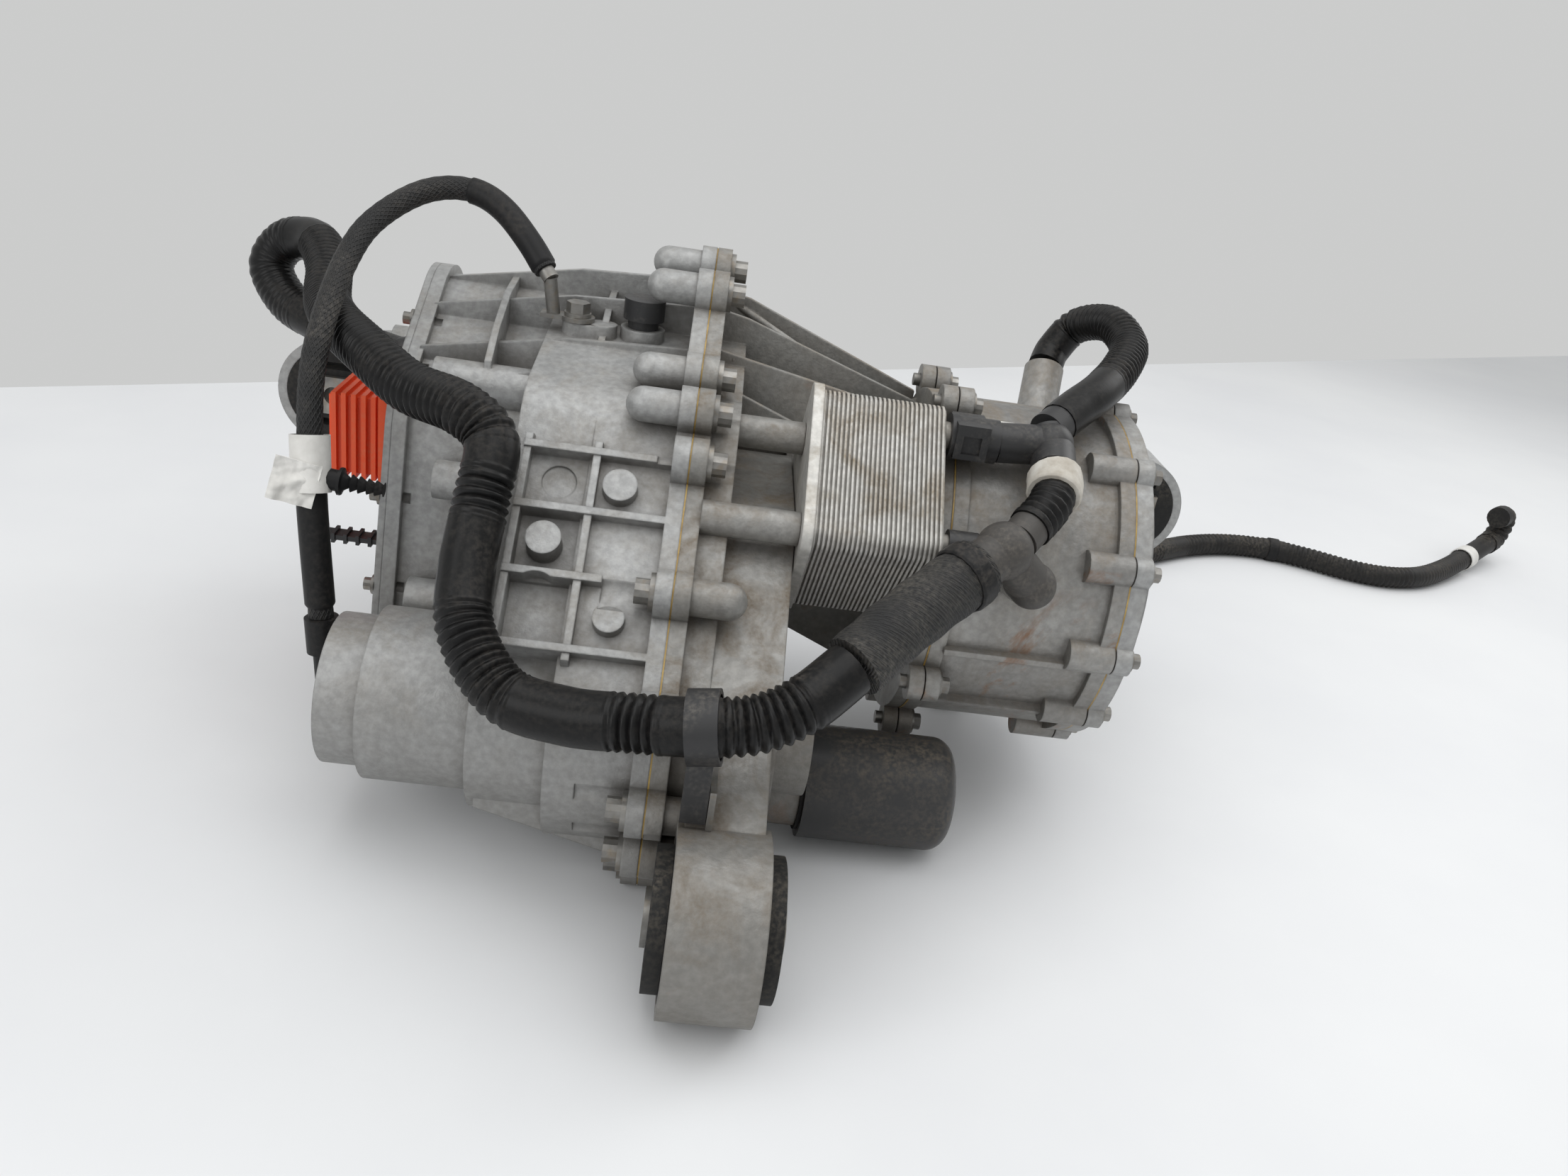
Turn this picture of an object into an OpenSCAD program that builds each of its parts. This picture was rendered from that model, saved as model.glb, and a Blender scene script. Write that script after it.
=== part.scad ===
// Electric drive unit: motor, two-stage reduction gear, differential and inverter housing in one casting set.
// Frame: X runs along the drive axis towards the motor end, Y runs to the rear, Z is up.
// Origin: on the drive axis, in the plane of the main housing joint. Millimetres.

/* [Housings] */
// Wall thickness of the die-cast housings
wall = 5; // [4:0.5:7]
// Thickness of each joint flange
flange_t = 9; // [7:0.5:12]
// Thickness of the squeezed sealant line in a joint
seal_t = 0.8; // [0.4:0.1:1.5]
// Length of the gear case on the left of the main joint
left_case_len = 92; // [80:1:105]
// Length of the gear case on the right of the main joint
right_case_len = 60; // [56:1:70]
// Left end of the inverter housing, measured from the main joint
inverter_len = 168; // [160:1:180]
// Place of the motor joint along X
motor_joint_x = 145; // [144:1:150]

/* [Motor] */
// Outer radius of the motor barrel
motor_r = 100; // [96:1:106]
// Length of the motor barrel
motor_len = 103; // [100:1:115]
// Place of the motor axis behind the drive axis
motor_y = 132; // [130:1:133]
// Height of the motor axis above the drive axis
motor_z = 66; // [65:1:67]
// Length of the stator core
stator_len = 52; // [40:1:54]
// Air gap between the stator and the rotor
air_gap = 0.8; // [0.5:0.1:1.5]

/* [Gears] */
// Teeth of the pinion on the motor shaft
input_teeth = 18; // [18:1:20]
// Teeth of the large gear on the countershaft
counter_teeth = 56; // [55:1:56]
// Tooth module of the first stage
module_1 = 2; // [1.95:0.05:2.05]
// Teeth of the pinion on the countershaft
pinion_teeth = 20; // [20:1:22]
// Teeth of the ring gear on the differential
ring_teeth = 52; // [52:1:54]
// Tooth module of the second stage
module_2 = 2.1; // [2.05:0.05:2.15]
// Flank play of each tooth
backlash = 0.16; // [0.08:0.02:0.3]
// Radial running fit of a shaft in its bearing
run_fit = 0.05; // [0.02:0.01:0.09]

/* [Mounts] */
// Outer radius of the front mount ring
ring_r = 45; // [40:1:50]
// Width of the front mount ring along X
ring_w = 44; // [40:1:48]
// Outer radius of the two rear mount eyes
eye_r = 38; // [34:1:42]
// Bolt hole radius in the mount bushes
bush_hole_r = 6.25; // [5:0.25:8]

/* [Cooler and filter] */
// Number of plates in the oil cooler
cooler_plates = 27; // [16:1:27]
// Pitch of the cooler plates along X
plate_pitch = 2.5; // [2:0.1:2.6]
// Oil filter radius
filter_r = 33; // [28:1:34]
// Oil filter length
filter_len = 87; // [70:1:95]

/* [Hoses and cable] */
// Outer diameter of the main coolant hose
main_hose_d = 28; // [22:1:30]
// Outer diameter of the branch and upper hoses
upper_hose_d = 24; // [20:1:26]
// Outer diameter of the free hose
free_hose_d = 22; // [18:1:24]
// Outer diameter of the ground cable
cable_d = 14; // [10:1:16]

/* [Output] */
// Name of the node to draw, or "all"

/* [Hidden] */
$fn = 64;
eps = 0.01;
gap = 0.4;
// angle of one step along an outline's arcs
arc_step = 6;

// gear centres: drive axis D at the origin, motor axis M, countershaft C by the law of cosines
ring_pr = ring_teeth * module_2 / 2;
pinion_pr = pinion_teeth * module_2 / 2;
counter_pr = counter_teeth * module_1 / 2;
input_pr = input_teeth * module_1 / 2;
reach = norm([motor_y, motor_z]);
a_two = ring_pr + pinion_pr;
a_one = counter_pr + input_pr;
motor_dir = atan2(motor_z, motor_y);
lift = acos((reach * reach + a_two * a_two - a_one * a_one) / (2 * reach * a_two));
counter_dir = motor_dir + lift;
counter_y = a_two * cos(counter_dir);
counter_z = a_two * sin(counter_dir);
input_dir = atan2(motor_z - counter_z, motor_y - counter_y);

// housing outlines as circles [y, z, radius] in order round the section
clear = 2.5;
ring_in = ring_pr + module_2 + clear;
counter_in = counter_pr + module_1 + clear;
lip = 7;
brow = [90, 118, 41];
hump = [172, 150, 51];
case_in = [[0, 0, ring_in], [counter_y, counter_z, counter_in], [motor_y, motor_z, 42]];
case_out = [for (c = case_in) [c[0], c[1], c[2] + wall]];
body_line = [[0, 0, ring_in + wall], brow, [172, 128, 45], [motor_y, motor_z, motor_r - 7]];
joint_line = [[0, 0, ring_in + wall + lip], [brow[0], brow[1], brow[2] + lip], [hump[0], hump[1], hump[2] + lip],
              [motor_y, motor_z, motor_r]];
inverter_out = [[136, 104, 38], [200, 142, 38], [206, 8, 36], [110, 2, 36]];
inverter_in = [for (c = inverter_out) [c[0], c[1], c[2] - wall]];
floor_z = -78;

// positions along X
diff_x = -33;
ring_x0 = diff_x - 13;
ring_face = 26;
stage_one_x0 = 14;
stage_one_face = 28;
wall_x0 = 46;
motor_end = motor_joint_x + motor_len;
cover_len = 23;
stator_x0 = motor_joint_x + 27;
stator_r = motor_r - 8;
rotor_r = 60;
shaft_r = 14;
hub_r = 17;
hub_in = 13.5;
socket_r = 11.5;

// front mount, rear mounts
ring_c = [38, -115, floor_z + ring_r];
eye_y = 255;
eye_z = 76;
eye_left_x = -248;
eye_right_x = 312;
eye_w = 44;

// main joint bolts: [y, z], and which side the head is on
function on_circle(c, a, out) = [c[0] + (c[2] + out) * cos(a), c[1] + (c[2] + out) * sin(a)];
bolt_out = 3;
joint_edge = link(joint_line[0], joint_line[1]);
function on_joint_edge(t) =
    let (v = joint_edge[1] - joint_edge[0]) joint_edge[0] + t * v + bolt_out * unit([-v[1], v[0]]);
bolts_upper = [on_circle(joint_line[2], 80, bolt_out), on_circle(joint_line[2], 118, bolt_out),
               on_circle(joint_line[1], 92, bolt_out), on_circle(joint_line[1], 128, bolt_out),
               on_joint_edge(0.83), on_circle(joint_line[2], 25, bolt_out)];
bolts_lower = [on_joint_edge(0.32), on_circle(joint_line[0], 146, bolt_out),
               on_circle(joint_line[0], 184, bolt_out), on_circle(joint_line[0], 210, bolt_out),
               on_circle(joint_line[0], 240, bolt_out), on_circle(joint_line[0], 304, bolt_out),
               on_circle(joint_line[3], -75, bolt_out), on_circle(joint_line[3], -30, bolt_out),
               on_circle(joint_line[3], 15, bolt_out)];
bolt_ear_r = 12.5;
bolt_shank_r = 4.9;
bolt_hole_r = 5;
head_room_r = 11.5;
motor_bolt_angles = [14, 62, 105, 202, 240, 275, 308];
cover_bolt_angles = [48, 84, 122, 156, 186, 214, 246, 280, 316];

// oil cooler: front corner [y, z], tilt, and the plate's two lengths
cooler_corner = [1, 117];
cooler_tilt = 40;
cooler_u = 96;
cooler_v = 86;
cooler_x0 = 66.4;
cooler_len = cooler_plates * plate_pitch;
cooler_base_t = 6;
function on_plate(u, v) = [cooler_corner[0] + u * cos(cooler_tilt) + v * sin(cooler_tilt),
                           cooler_corner[1] + u * sin(cooler_tilt) - v * cos(cooler_tilt)];
post_places = [on_plate(14, 16), on_plate(78, 30), on_plate(11, 68)];
upper_port = on_plate(80, 10);
lower_port = on_plate(14, 12);
cooler_end = cooler_x0 + cooler_len;

// oil filter
filter_c = [26, floor_z + filter_r + 2];
filter_x0 = 86;

// fluid and cable routes, chosen by hand, [x, y, z]
main_route = [[-246, 224, 130], [-276, 246, 136], [-292, 260, 154], [-282, 262, 172], [-258, 246, 178],
              [-240, 214, 170], [-228, 174, 160], [-208, 128, 160], [-178, 84, 158], [-148, 52, 152],
              [-116, 28, 152], [-98, 14, 142], [-98, -6, 118], [-99, -28, 92], [-94, -50, 70], [-72, -72, 52],
              [-42, -82, 50], [-12, -88, 54], [22, -94, 60], [46, -92, 64], [66, -84, 72], [86, -68, 84]];
sleeve_route = [[87.6, -66.7, 85], [105, -50, 96], [128, -30, 109], [148, -13, 119]];
junction = [163, -1, 126];
// a point beside the motor barrel, by its place along X, angle round the motor axis and height over the barrel
function by_motor(x, a, h) = [x, motor_y + (motor_r + h) * cos(a), motor_z + (motor_r + h) * sin(a)];
motor_port = by_motor(184, 162.4, 32);
tee_c = by_motor(194, 123, 15.7);
upper_route = [by_motor(200, 114.4, 16.4), by_motor(212, 107.4, 17.3), by_motor(228, 98.6, 20.4),
               by_motor(248, 83.7, 27.8), by_motor(262, 69.5, 43), by_motor(258, 59, 63), by_motor(246, 48.8, 73),
               by_motor(234, 44.5, 60), by_motor(228.5, 44.6, 46)];
upper_stub = by_motor(227.5, 44.6, 43);
branch_route = [by_motor(194, 133, 20.3), by_motor(193, 138.6, 25.4), by_motor(188, 144.3, 31.8),
                by_motor(177, 150.1, 38.4)];
free_route = [[284, 292, 6], [294, 314, -9], [306, 340, -26], [321, 370, -42], [340, 404, -55], [364, 440, -63],
              [394, 474, -67], [430, 504, -67], [470, 532, -67], [514, 560, -67], [560, 578, -67], [606, 582, -67],
              [646, 570, -67], [684, 552, -67], [722, 546, -67], [764, 558, -67], [806, 586, -66], [850, 622, -62],
              [896, 660, -55]];
cable_route = [[-96, 146, 202], [-107, 154, 214], [-122, 163, 227], [-136, 169, 234], [-150, 171, 236],
               [-164, 169, 234], [-176, 162, 229], [-188, 150, 220], [-196, 136, 210], [-200, 118, 197],
               [-201, 99, 184], [-201, 82, 171], [-201, 68, 156], [-200, 58, 140], [-198, 50, 123], [-196, 44, 106],
               [-194, 39, 86], [-192, 36, 66], [-190, 34, 44], [-188, 32, 23]];

// outline helpers: a belt is the band drawn tight round a list of circles [y, z, radius] in clockwise order
function polar(r, a) = [r * cos(a), r * sin(a)];
function place(c) = [c[0], c[1]];
function tangent(a, b) =
    let (v = place(b) - place(a)) atan2(v[1], v[0]) + acos((a[2] - b[2]) / norm(v));
function link(a, b) = let (t = tangent(a, b)) [place(a) + polar(a[2], t), place(b) + polar(b[2], t)];
function arc_points(c, from, to) =
    let (span = (from - to + 720) % 360, n = max(1, ceil(span / arc_step)))
    [for (k = [0 : n]) place(c) + polar(c[2], from - span * k / n)];
function belt_points(cs) =
    let (n = len(cs))
    [for (i = [0 : n - 1])
        each arc_points(cs[i], tangent(cs[(i + n - 1) % n], cs[i]), tangent(cs[i], cs[(i + 1) % n]))];

module belt(cs) polygon(belt_points(cs));

module slab(x0, x1) translate([x0, 0, 0]) rotate([90, 0, 90]) linear_extrude(x1 - x0) children();
module rod(x0, x1, c, r) translate([x0, c[0], c[1]]) rotate([0, 90, 0]) cylinder(h = x1 - x0, r = r);
module ring(x0, x1, c, r_out, r_in) slab(x0, x1) translate(place(c)) difference() {
    circle(r = r_out);
    circle(r = r_in);
}
module dome_rod(x0, x1, c, r) {
    rod(x0, x1, c, r);
    translate([x0, c[0], c[1]]) sphere(r = r);
}
// a thin rib along X: side profile [x, z] drawn at y
module rib(y, t, profile) translate([0, y + t / 2, 0]) rotate([90, 0, 0]) linear_extrude(t) polygon(profile);
// a cross rib: side profile [y, z] drawn at x
module web(x, t, profile) slab(x, x + t) polygon(profile);

// involute spur gear outline
pressure = 20;
function inv_deg(a) = tan(a) * 180 / PI - a;
function half_tooth(r, pr, z, play) =
    90 / z - play * 90 / (PI * pr) + inv_deg(pressure) - inv_deg(acos(min(1, pr * cos(pressure) / r)));
function gear_points(z, m, play, phase) =
    let (pr = z * m / 2, tip = pr + 0.96 * m, root = pr - 1.25 * m, foot = max(root + 0.05, pr * cos(pressure)))
    [for (i = [0 : z - 1]) let (a = phase + 360 * i / z)
        each [polar(root, a - half_tooth(foot, pr, z, play)), polar(foot, a - half_tooth(foot, pr, z, play)),
              polar(pr, a - half_tooth(pr, pr, z, play)), polar(tip, a - half_tooth(tip, pr, z, play)),
              polar(tip, a + half_tooth(tip, pr, z, play)), polar(pr, a + half_tooth(pr, pr, z, play)),
              polar(foot, a + half_tooth(foot, pr, z, play)), polar(root, a + half_tooth(foot, pr, z, play))]];

module spur(x0, x1, c, z, m, phase, bore) slab(x0, x1) translate(place(c)) difference() {
    polygon(gear_points(z, m, backlash, phase));
    circle(r = bore);
}

// swept round tube along a route
function unit(v) = v / norm(v);
function heading(p, i) = unit(p[min(i + 1, len(p) - 1)] - p[max(i - 1, 0)]);
function carry(p, i) =
    i == 0 ? let (t = heading(p, 0)) unit(cross(t, abs(t[2]) < 0.8 ? [0, 0, 1] : [1, 0, 0]))
           : let (n = carry(p, i - 1), t = heading(p, i)) unit(n - t * (n * t));
function loop(p, i, r, k) =
    let (n = carry(p, i), b = cross(heading(p, i), n))
    [for (j = [0 : k - 1]) p[i] + r * (cos(360 * j / k) * n + sin(360 * j / k) * b)];

module tube(p, d, k) {
    last = (len(p) - 1) * k;
    polyhedron(
        points = [for (i = [0 : len(p) - 1]) each loop(p, i, d / 2, k)],
        faces = concat(
            [[for (j = [0 : k - 1]) j]],
            [[for (j = [k - 1 : -1 : 0]) last + j]],
            [for (i = [0 : len(p) - 2]) for (j = [0 : k - 1]) let (q = (j + 1) % k)
                each [[i * k + j, i * k + k + j, i * k + k + q], [i * k + j, i * k + k + q, i * k + q]]]));
}
// put a piece drawn along +Z at the end of a route
module at_end(p, back) {
    i = back ? 0 : len(p) - 1;
    t = back ? -heading(p, 0) : heading(p, i);
    translate(p[i]) rotate([0, acos(t[2]), atan2(t[1], t[0])]) children();
}

// flange bolt with a many-sided head, shank along -X from its seat, or +X when flipped
module joint_bolt(x, c, flip) translate([x, c[0], c[1]]) rotate([0, flip ? -90 : 90, 0]) {
    cylinder(h = 2.6, r = 10);
    translate([0, 0, 2.6]) cylinder(h = 7.4, r = 6.6, $fn = 12);
    translate([0, 0, -flange_t - seal_t - 6]) cylinder(h = flange_t + seal_t + 6, r = bolt_shank_r);
}
module small_bolt(x, c, r, len) translate([x, c[0], c[1]]) rotate([0, 90, 0]) {
    cylinder(h = 1.6, r = 1.9 * r);
    translate([0, 0, 1.6]) cylinder(h = 4.6, r = 1.25 * r, $fn = 12);
    translate([0, 0, -len]) cylinder(h = len, r = r - 0.1);
}
module strut(a, b, r) {
    v = b - a;
    translate(a) rotate([0, acos(v[2] / norm(v)), atan2(v[1], v[0])]) cylinder(h = norm(v), r = r);
}
module across(y0, y1) translate([0, y1, 0]) rotate([90, 0, 0]) linear_extrude(y1 - y0) children();

motor_c = [motor_y, motor_z];
counter_c = [counter_y, counter_z];
drive_c = [0, 0];
joint_bolts = concat(bolts_upper, bolts_lower);
cover_edge_r = motor_r + 3;
function motor_bolt(a) = motor_c + polar(motor_r + 7, a);
function cover_bolt(a) = motor_c + polar(motor_r - 1, a);

module joint_plate(x0, x1, inner) slab(x0, x1) difference() {
    union() {
        belt(joint_line);
        for (b = joint_bolts) translate(b) circle(r = bolt_ear_r);
    }
    belt(inner);
    for (b = joint_bolts) translate(b) circle(r = bolt_hole_r);
}

// left casting: gear case half, inverter housing, output boss, rear eye and ground post
front_line = link(body_line[0], body_line[1]);
front_d = unit(front_line[1] - front_line[0]);
front_n = [-front_d[1], front_d[0]];
function on_front(s, h) = front_line[0] + s * front_d + h * front_n;
// a rib standing on the slanted front wall, at s along the wall
module front_rib(x0, x1, s, t, h) slab(x0, x1)
    polygon([on_front(s - t / 2 - 1, -14), on_front(s - t / 2, h), on_front(s + t / 2, h), on_front(s + t / 2 + 1, -14)]);
// a drill or boss square to the front wall
module front_boss(x, s, h0, h1, r) translate([x, on_front(s, h0)[0], on_front(s, h0)[1]])
    rotate([acos(front_n[1]), 0, 0]) cylinder(h = h1 - h0, r = r);

top_ribs = [[112, 158], [132, 172], [164, 190], [194, 200]];
out_x = -170;
// left of the ring gear the case steps in round the differential bearing
gear_bay_x = ring_x0 - 6;
left_line = [[0, 0, ring_in + wall - 10], body_line[1], body_line[2], body_line[3]];
left_in = [[0, 0, ring_in - 12], case_in[1], case_in[2]];
// a gusset under the case, from the joint flange down to the stepped-in end
function under(r, y) = -sqrt(r * r - y * y);
module gusset(y, t) rib(y, t, [[-left_case_len + 4, 0], [-left_case_len + 4, under(left_line[0][2] + 1, y)],
                               [-flange_t, under(joint_line[0][2], y)], [-flange_t, 0]]);
// a cast standing foot: crossed webs down to a round pad on the floor
module foot(x, y, top) {
    web(x - 4, 8, [[y - 24, top], [y + 24, top], [y + 9, floor_z], [y - 9, floor_z]]);
    rib(y, 8, [[x - 22, top], [x + 22, top], [x + 9, floor_z], [x - 9, floor_z]]);
    translate([x, y, floor_z]) cylinder(h = 7, r = 13);
}
lid_x = -inverter_len;
post_c = [-76, 146];
post_top = 176;
breather_c = [-38, 150];
module left_casing() color("silver") difference() {
    union() {
        joint_plate(-flange_t, -seal_t / 2, case_in);
        slab(gear_bay_x, -flange_t) belt(body_line);
        slab(-left_case_len, gear_bay_x + 1) belt(left_line);
        slab(lid_x, -flange_t) belt(inverter_out);
        slab(lid_x, lid_x + 8) belt([for (c = inverter_out) [c[0], c[1], c[2] + 5]]);
        rod(out_x, -left_case_len, drive_c, 40);
        rod(out_x + 22, -left_case_len, drive_c, 46);
        for (b = bolts_upper) dome_rod(-28, -flange_t, b, 9.5);
        for (r = top_ribs)
            rib(r[0], 4, [[-flange_t, 110], [-flange_t, r[1]], [-80, r[1] - 4], [lid_x + 6, r[1] - 20],
                          [lid_x + 6, 110]]);
        for (x = [-62, -122]) web(x, 4, [[100, 110], [112, 154], [132, 168], [164, 182], [194, 186], [205, 110]]);
        for (s = [14, 52, 88, 122]) front_rib(-left_case_len + 6, -flange_t, s, 4, 7);
        for (x = [-left_case_len + 6, -50])
            slab(x, x + 4) polygon([on_front(4, -14), on_front(8, 6), on_front(128, 6), on_front(134, -14)]);
        front_boss(-68, 70, -14, 8, 9);
        front_boss(-34, 104, -14, 8, 9);
        front_boss(-30, 32, -14, 8, 8);
        for (y = [-44, -18, 10]) gusset(y, 5);
        foot(lid_x + 56, 206, -10);
        rod(lid_x + 18, -60, [116, 138], 13);
        rod(lid_x + 28, -left_case_len + 4, [80, 92], 11);
        rod(lid_x + 18, -left_case_len + 4, [64, 24], 12);
        for (dx = [0, 15]) translate([post_c[0] + dx, post_c[1], 120]) cylinder(h = post_top - 120, r = 8.5);
        translate([post_c[0], post_c[1] - 8, 120]) cube([15, 16, post_top - 120.5]);
        translate([breather_c[0], breather_c[1], 120]) cylinder(h = post_top - 120, r = 13);
        across(248, 277) belt([[eye_left_x, eye_z, eye_r], [-140, 112, 16], [-140, 34, 16]]);
        translate([-160, 222, 22]) cube([56, 55, 100]);
        rod(-212, -112, [263, 112], 14);
    }
    difference() {
        union() {
            slab(gear_bay_x + wall, 1) belt(case_in);
            slab(-left_case_len + wall, gear_bay_x + wall + 1) belt(left_in);
        }
        rod(-left_case_len, -6, motor_c, 27);
        rod(-left_case_len, -70, counter_c, 27);
        rod(-left_case_len, -71, drive_c, 34);
    }
    front_boss(-68, 34, -3.5, 10, 12);
    front_boss(-68, 40, -3.5, 10, 12);
    front_boss(-66, 106, -3.5, 10, 9);
    rod(-19, 1, motor_c, 20);
    rod(-26, 0, motor_c, 15);
    rod(-84, 0, counter_c, 20);
    rod(-86, 0, drive_c, 28);
    rod(out_x - 1, 0, drive_c, 15);
    rod(out_x - 1, out_x + 9, drive_c, 26);
    slab(lid_x - 1, -left_case_len - 4) belt(inverter_in);
    for (b = bolts_upper) rod(-17, 0, b, bolt_hole_r);
    for (b = bolts_lower) rod(-36, -flange_t, b, head_room_r);
    for (b = lid_bolts) rod(lid_x - 1, lid_x + 12, b, 3);
    translate([post_c[0], post_c[1], 150]) cylinder(h = 40, r = 4.1);
    translate([breather_c[0], breather_c[1], 150]) cylinder(h = 40, r = 6.1);
    translate([eye_left_x, 400, eye_z]) rotate([90, 0, 0]) cylinder(h = 300, r = eye_r - 6);
}

lid_bolts = [for (i = [0 : 3]) let (e = link(inverter_out[i], inverter_out[(i + 1) % 4]))
             for (t = [0.12, 0.62]) e[0] + t * (e[1] - e[0])];
module inverter_cover() color("gray") difference() {
    union() {
        slab(lid_x - 4, lid_x - 0.1) belt([for (c = inverter_out) [c[0], c[1], c[2] + 5]]);
        slab(lid_x - 7, lid_x - 3.5) belt([for (c = inverter_out) [c[0], c[1], c[2] - 8]]);
    }
    for (b = lid_bolts) rod(lid_x - 10, lid_x, b, 3);
    translate([lid_x - 12, 116, 76]) cube([20, 50, 44]);
}
module lid_screws() for (b = lid_bolts) mirror([1, 0, 0]) small_bolt(4 - lid_x, b, 3, 11);
// inside the inverter housing: power module on the gear case wall, board on its four posts
board_x = lid_x + 12;
board_t = 2;
module_x = board_x + board_t + 12;
module_gap = 0.3;
module power_module() color("gainsboro") translate([module_x, 128, 20]) {
    cube([-left_case_len - 4 - module_gap - module_x, 60, 80]);
    for (y = [6, 54], z = [4, 76]) translate([module_gap - 12, y, z]) rotate([0, 90, 0]) cylinder(h = 12, r = 3);
    for (i = [0 : 5]) translate([-4, 8, 6 + 12 * i]) cube([4, 48, 8]);
}
module inverter_board() color("darkgreen") translate([board_x, 118, 8]) cube([board_t, 84, 100]);

module main_seal() slab(-seal_t / 2, seal_t / 2) difference() {
    union() {
        belt(joint_line);
        for (b = joint_bolts) translate(b) circle(r = bolt_ear_r - 0.5);
    }
    belt(case_in);
    for (b = joint_bolts) translate(b) circle(r = bolt_hole_r);
}

// middle casting: gear case half, neck to the motor, cooler posts, front mount arm
neck_r = 30;
right_out_x = filter_x0 - 4;
module mid_casing() color("silver") difference() {
    union() {
        joint_plate(seal_t / 2, flange_t, case_in);
        slab(flange_t, 24) belt(body_line);
        slab(flange_t, right_case_len) belt(case_out);
        rod(flange_t, motor_joint_x - 2, motor_c, neck_r);
        rod(right_case_len - 1, right_out_x, drive_c, 30);
        rod(flange_t, filter_x0 - 2, filter_c, 27);
        rod(motor_joint_x - 9, motor_joint_x - seal_t / 2, motor_c, motor_r);
        for (a = motor_bolt_angles) rod(motor_joint_x - 9, motor_joint_x - seal_t / 2, motor_bolt(a), 10);
        for (b = bolts_lower) translate([28, 0, 0]) mirror([1, 0, 0]) dome_rod(0, 28 - flange_t, b, 9.5);
        for (r = [[132, 174, 134], [164, 190, 90], [194, 196, 90]])
            rib(r[0], 4, [[flange_t, r[2]], [flange_t, r[1]], [24, r[1] - 3], [motor_joint_x - 9, 150],
                          [motor_joint_x - 9, r[2]]]);
        rib(112, 4, [[flange_t, 132], [flange_t, 158], [24, 155], [cooler_x0 - 8, 142], [cooler_x0 - 8, 132]]);
        strut([16, 132, 170], [motor_joint_x - 6, 164, 132], 2.4);
        strut([16, 194, 188], [motor_joint_x - 6, 164, 132], 2.4);
        for (a = [185, 215, 250, 290, 330])
            translate([0, motor_y, motor_z]) rotate([a, 0, 0])
                rib(0, 4, [[right_case_len - 2, neck_r - 3], [right_case_len - 2, 60], [motor_joint_x - 9, 96],
                           [motor_joint_x - 9, neck_r - 3]]);
        for (p = post_places) rod(flange_t, cooler_x0 - cooler_base_t, p, 9);
        slab(ring_c[0] - ring_w / 2, ring_c[0] + ring_w / 2) translate([ring_c[1], ring_c[2]]) circle(r = ring_r);
        slab(ring_c[0] - 19, ring_c[0] + 19)
            belt([[ring_c[1], ring_c[2], 30], [-42, 30, 12], [-30, -30, 26]]);
    }
    slab(-1, wall_x0) belt(case_in);
    rod(wall_x0 - 1, 62, motor_c, 22);
    rod(60, motor_joint_x + 1, motor_c, neck_r - 10);
    rod(wall_x0 - 1, 58, counter_c, 20);
    rod(wall_x0 - 1, 59, drive_c, 24);
    rod(0, 100, drive_c, 18);
    rod(right_out_x - 9, 100, drive_c, 24);
    for (b = bolts_upper) rod(flange_t, 32, b, head_room_r);
    for (b = bolts_lower) rod(0, 17, b, bolt_hole_r);
    for (a = motor_bolt_angles) rod(motor_joint_x - 20, motor_joint_x + 1, motor_bolt(a), 4.1);
    for (p = post_places) rod(cooler_x0 - 18, cooler_x0, p, 3.6);
    rod(filter_x0 - 20, filter_x0 + 1, filter_c, 9);
    rod(ring_c[0] - ring_w, ring_c[0] + ring_w, [ring_c[1], ring_c[2]], ring_r - 7);
}

// motor: barrel, end cover with the right rear eye, seal, stator and rotor
module motor_housing() color("darkgray") difference() {
    union() {
        rod(motor_joint_x + seal_t / 2, motor_end - seal_t / 2, motor_c, motor_r - 2);
        rod(motor_joint_x + seal_t / 2, motor_joint_x + 9, motor_c, motor_r);
        for (a = motor_bolt_angles) rod(motor_joint_x + seal_t / 2, motor_joint_x + 9, motor_bolt(a), 10);
        rod(motor_end - 9, motor_end - seal_t / 2, motor_c, motor_r + 2);
        for (a = cover_bolt_angles) rod(motor_end - 26, motor_end - seal_t / 2, cover_bolt(a), 9);
        for (a = [100, 125, 200, 235, 300])
            translate([0, motor_y, motor_z]) rotate([a, 0, 0])
                rib(0, 4, [[motor_joint_x + 8, 80], [motor_joint_x + 8, 103], [motor_end - 8, 103], [motor_end - 8, 80]]);
        foot(motor_end - 42, 200, 40);
        strut(motor_port + [0, 54, -13.5], motor_port + [0, 14, -3.5], 13);
        strut(by_motor(218, 45, -18), upper_stub, 13);
    }
    rod(motor_joint_x - 1, motor_end + 1, motor_c, stator_r);
    for (a = motor_bolt_angles) rod(motor_joint_x, motor_joint_x + 10, motor_bolt(a), 4.3);
    for (a = cover_bolt_angles) rod(motor_end - 18, motor_end + 1, cover_bolt(a), 3.6);
}
module motor_seal() difference() {
    rod(motor_joint_x - seal_t / 2, motor_joint_x + seal_t / 2, motor_c, motor_r + 0.3);
    rod(motor_joint_x - 1, motor_joint_x + 1, motor_c, stator_r);
    for (a = motor_bolt_angles) rod(motor_joint_x - 1, motor_joint_x + 1, motor_bolt(a), 10);
}
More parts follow.
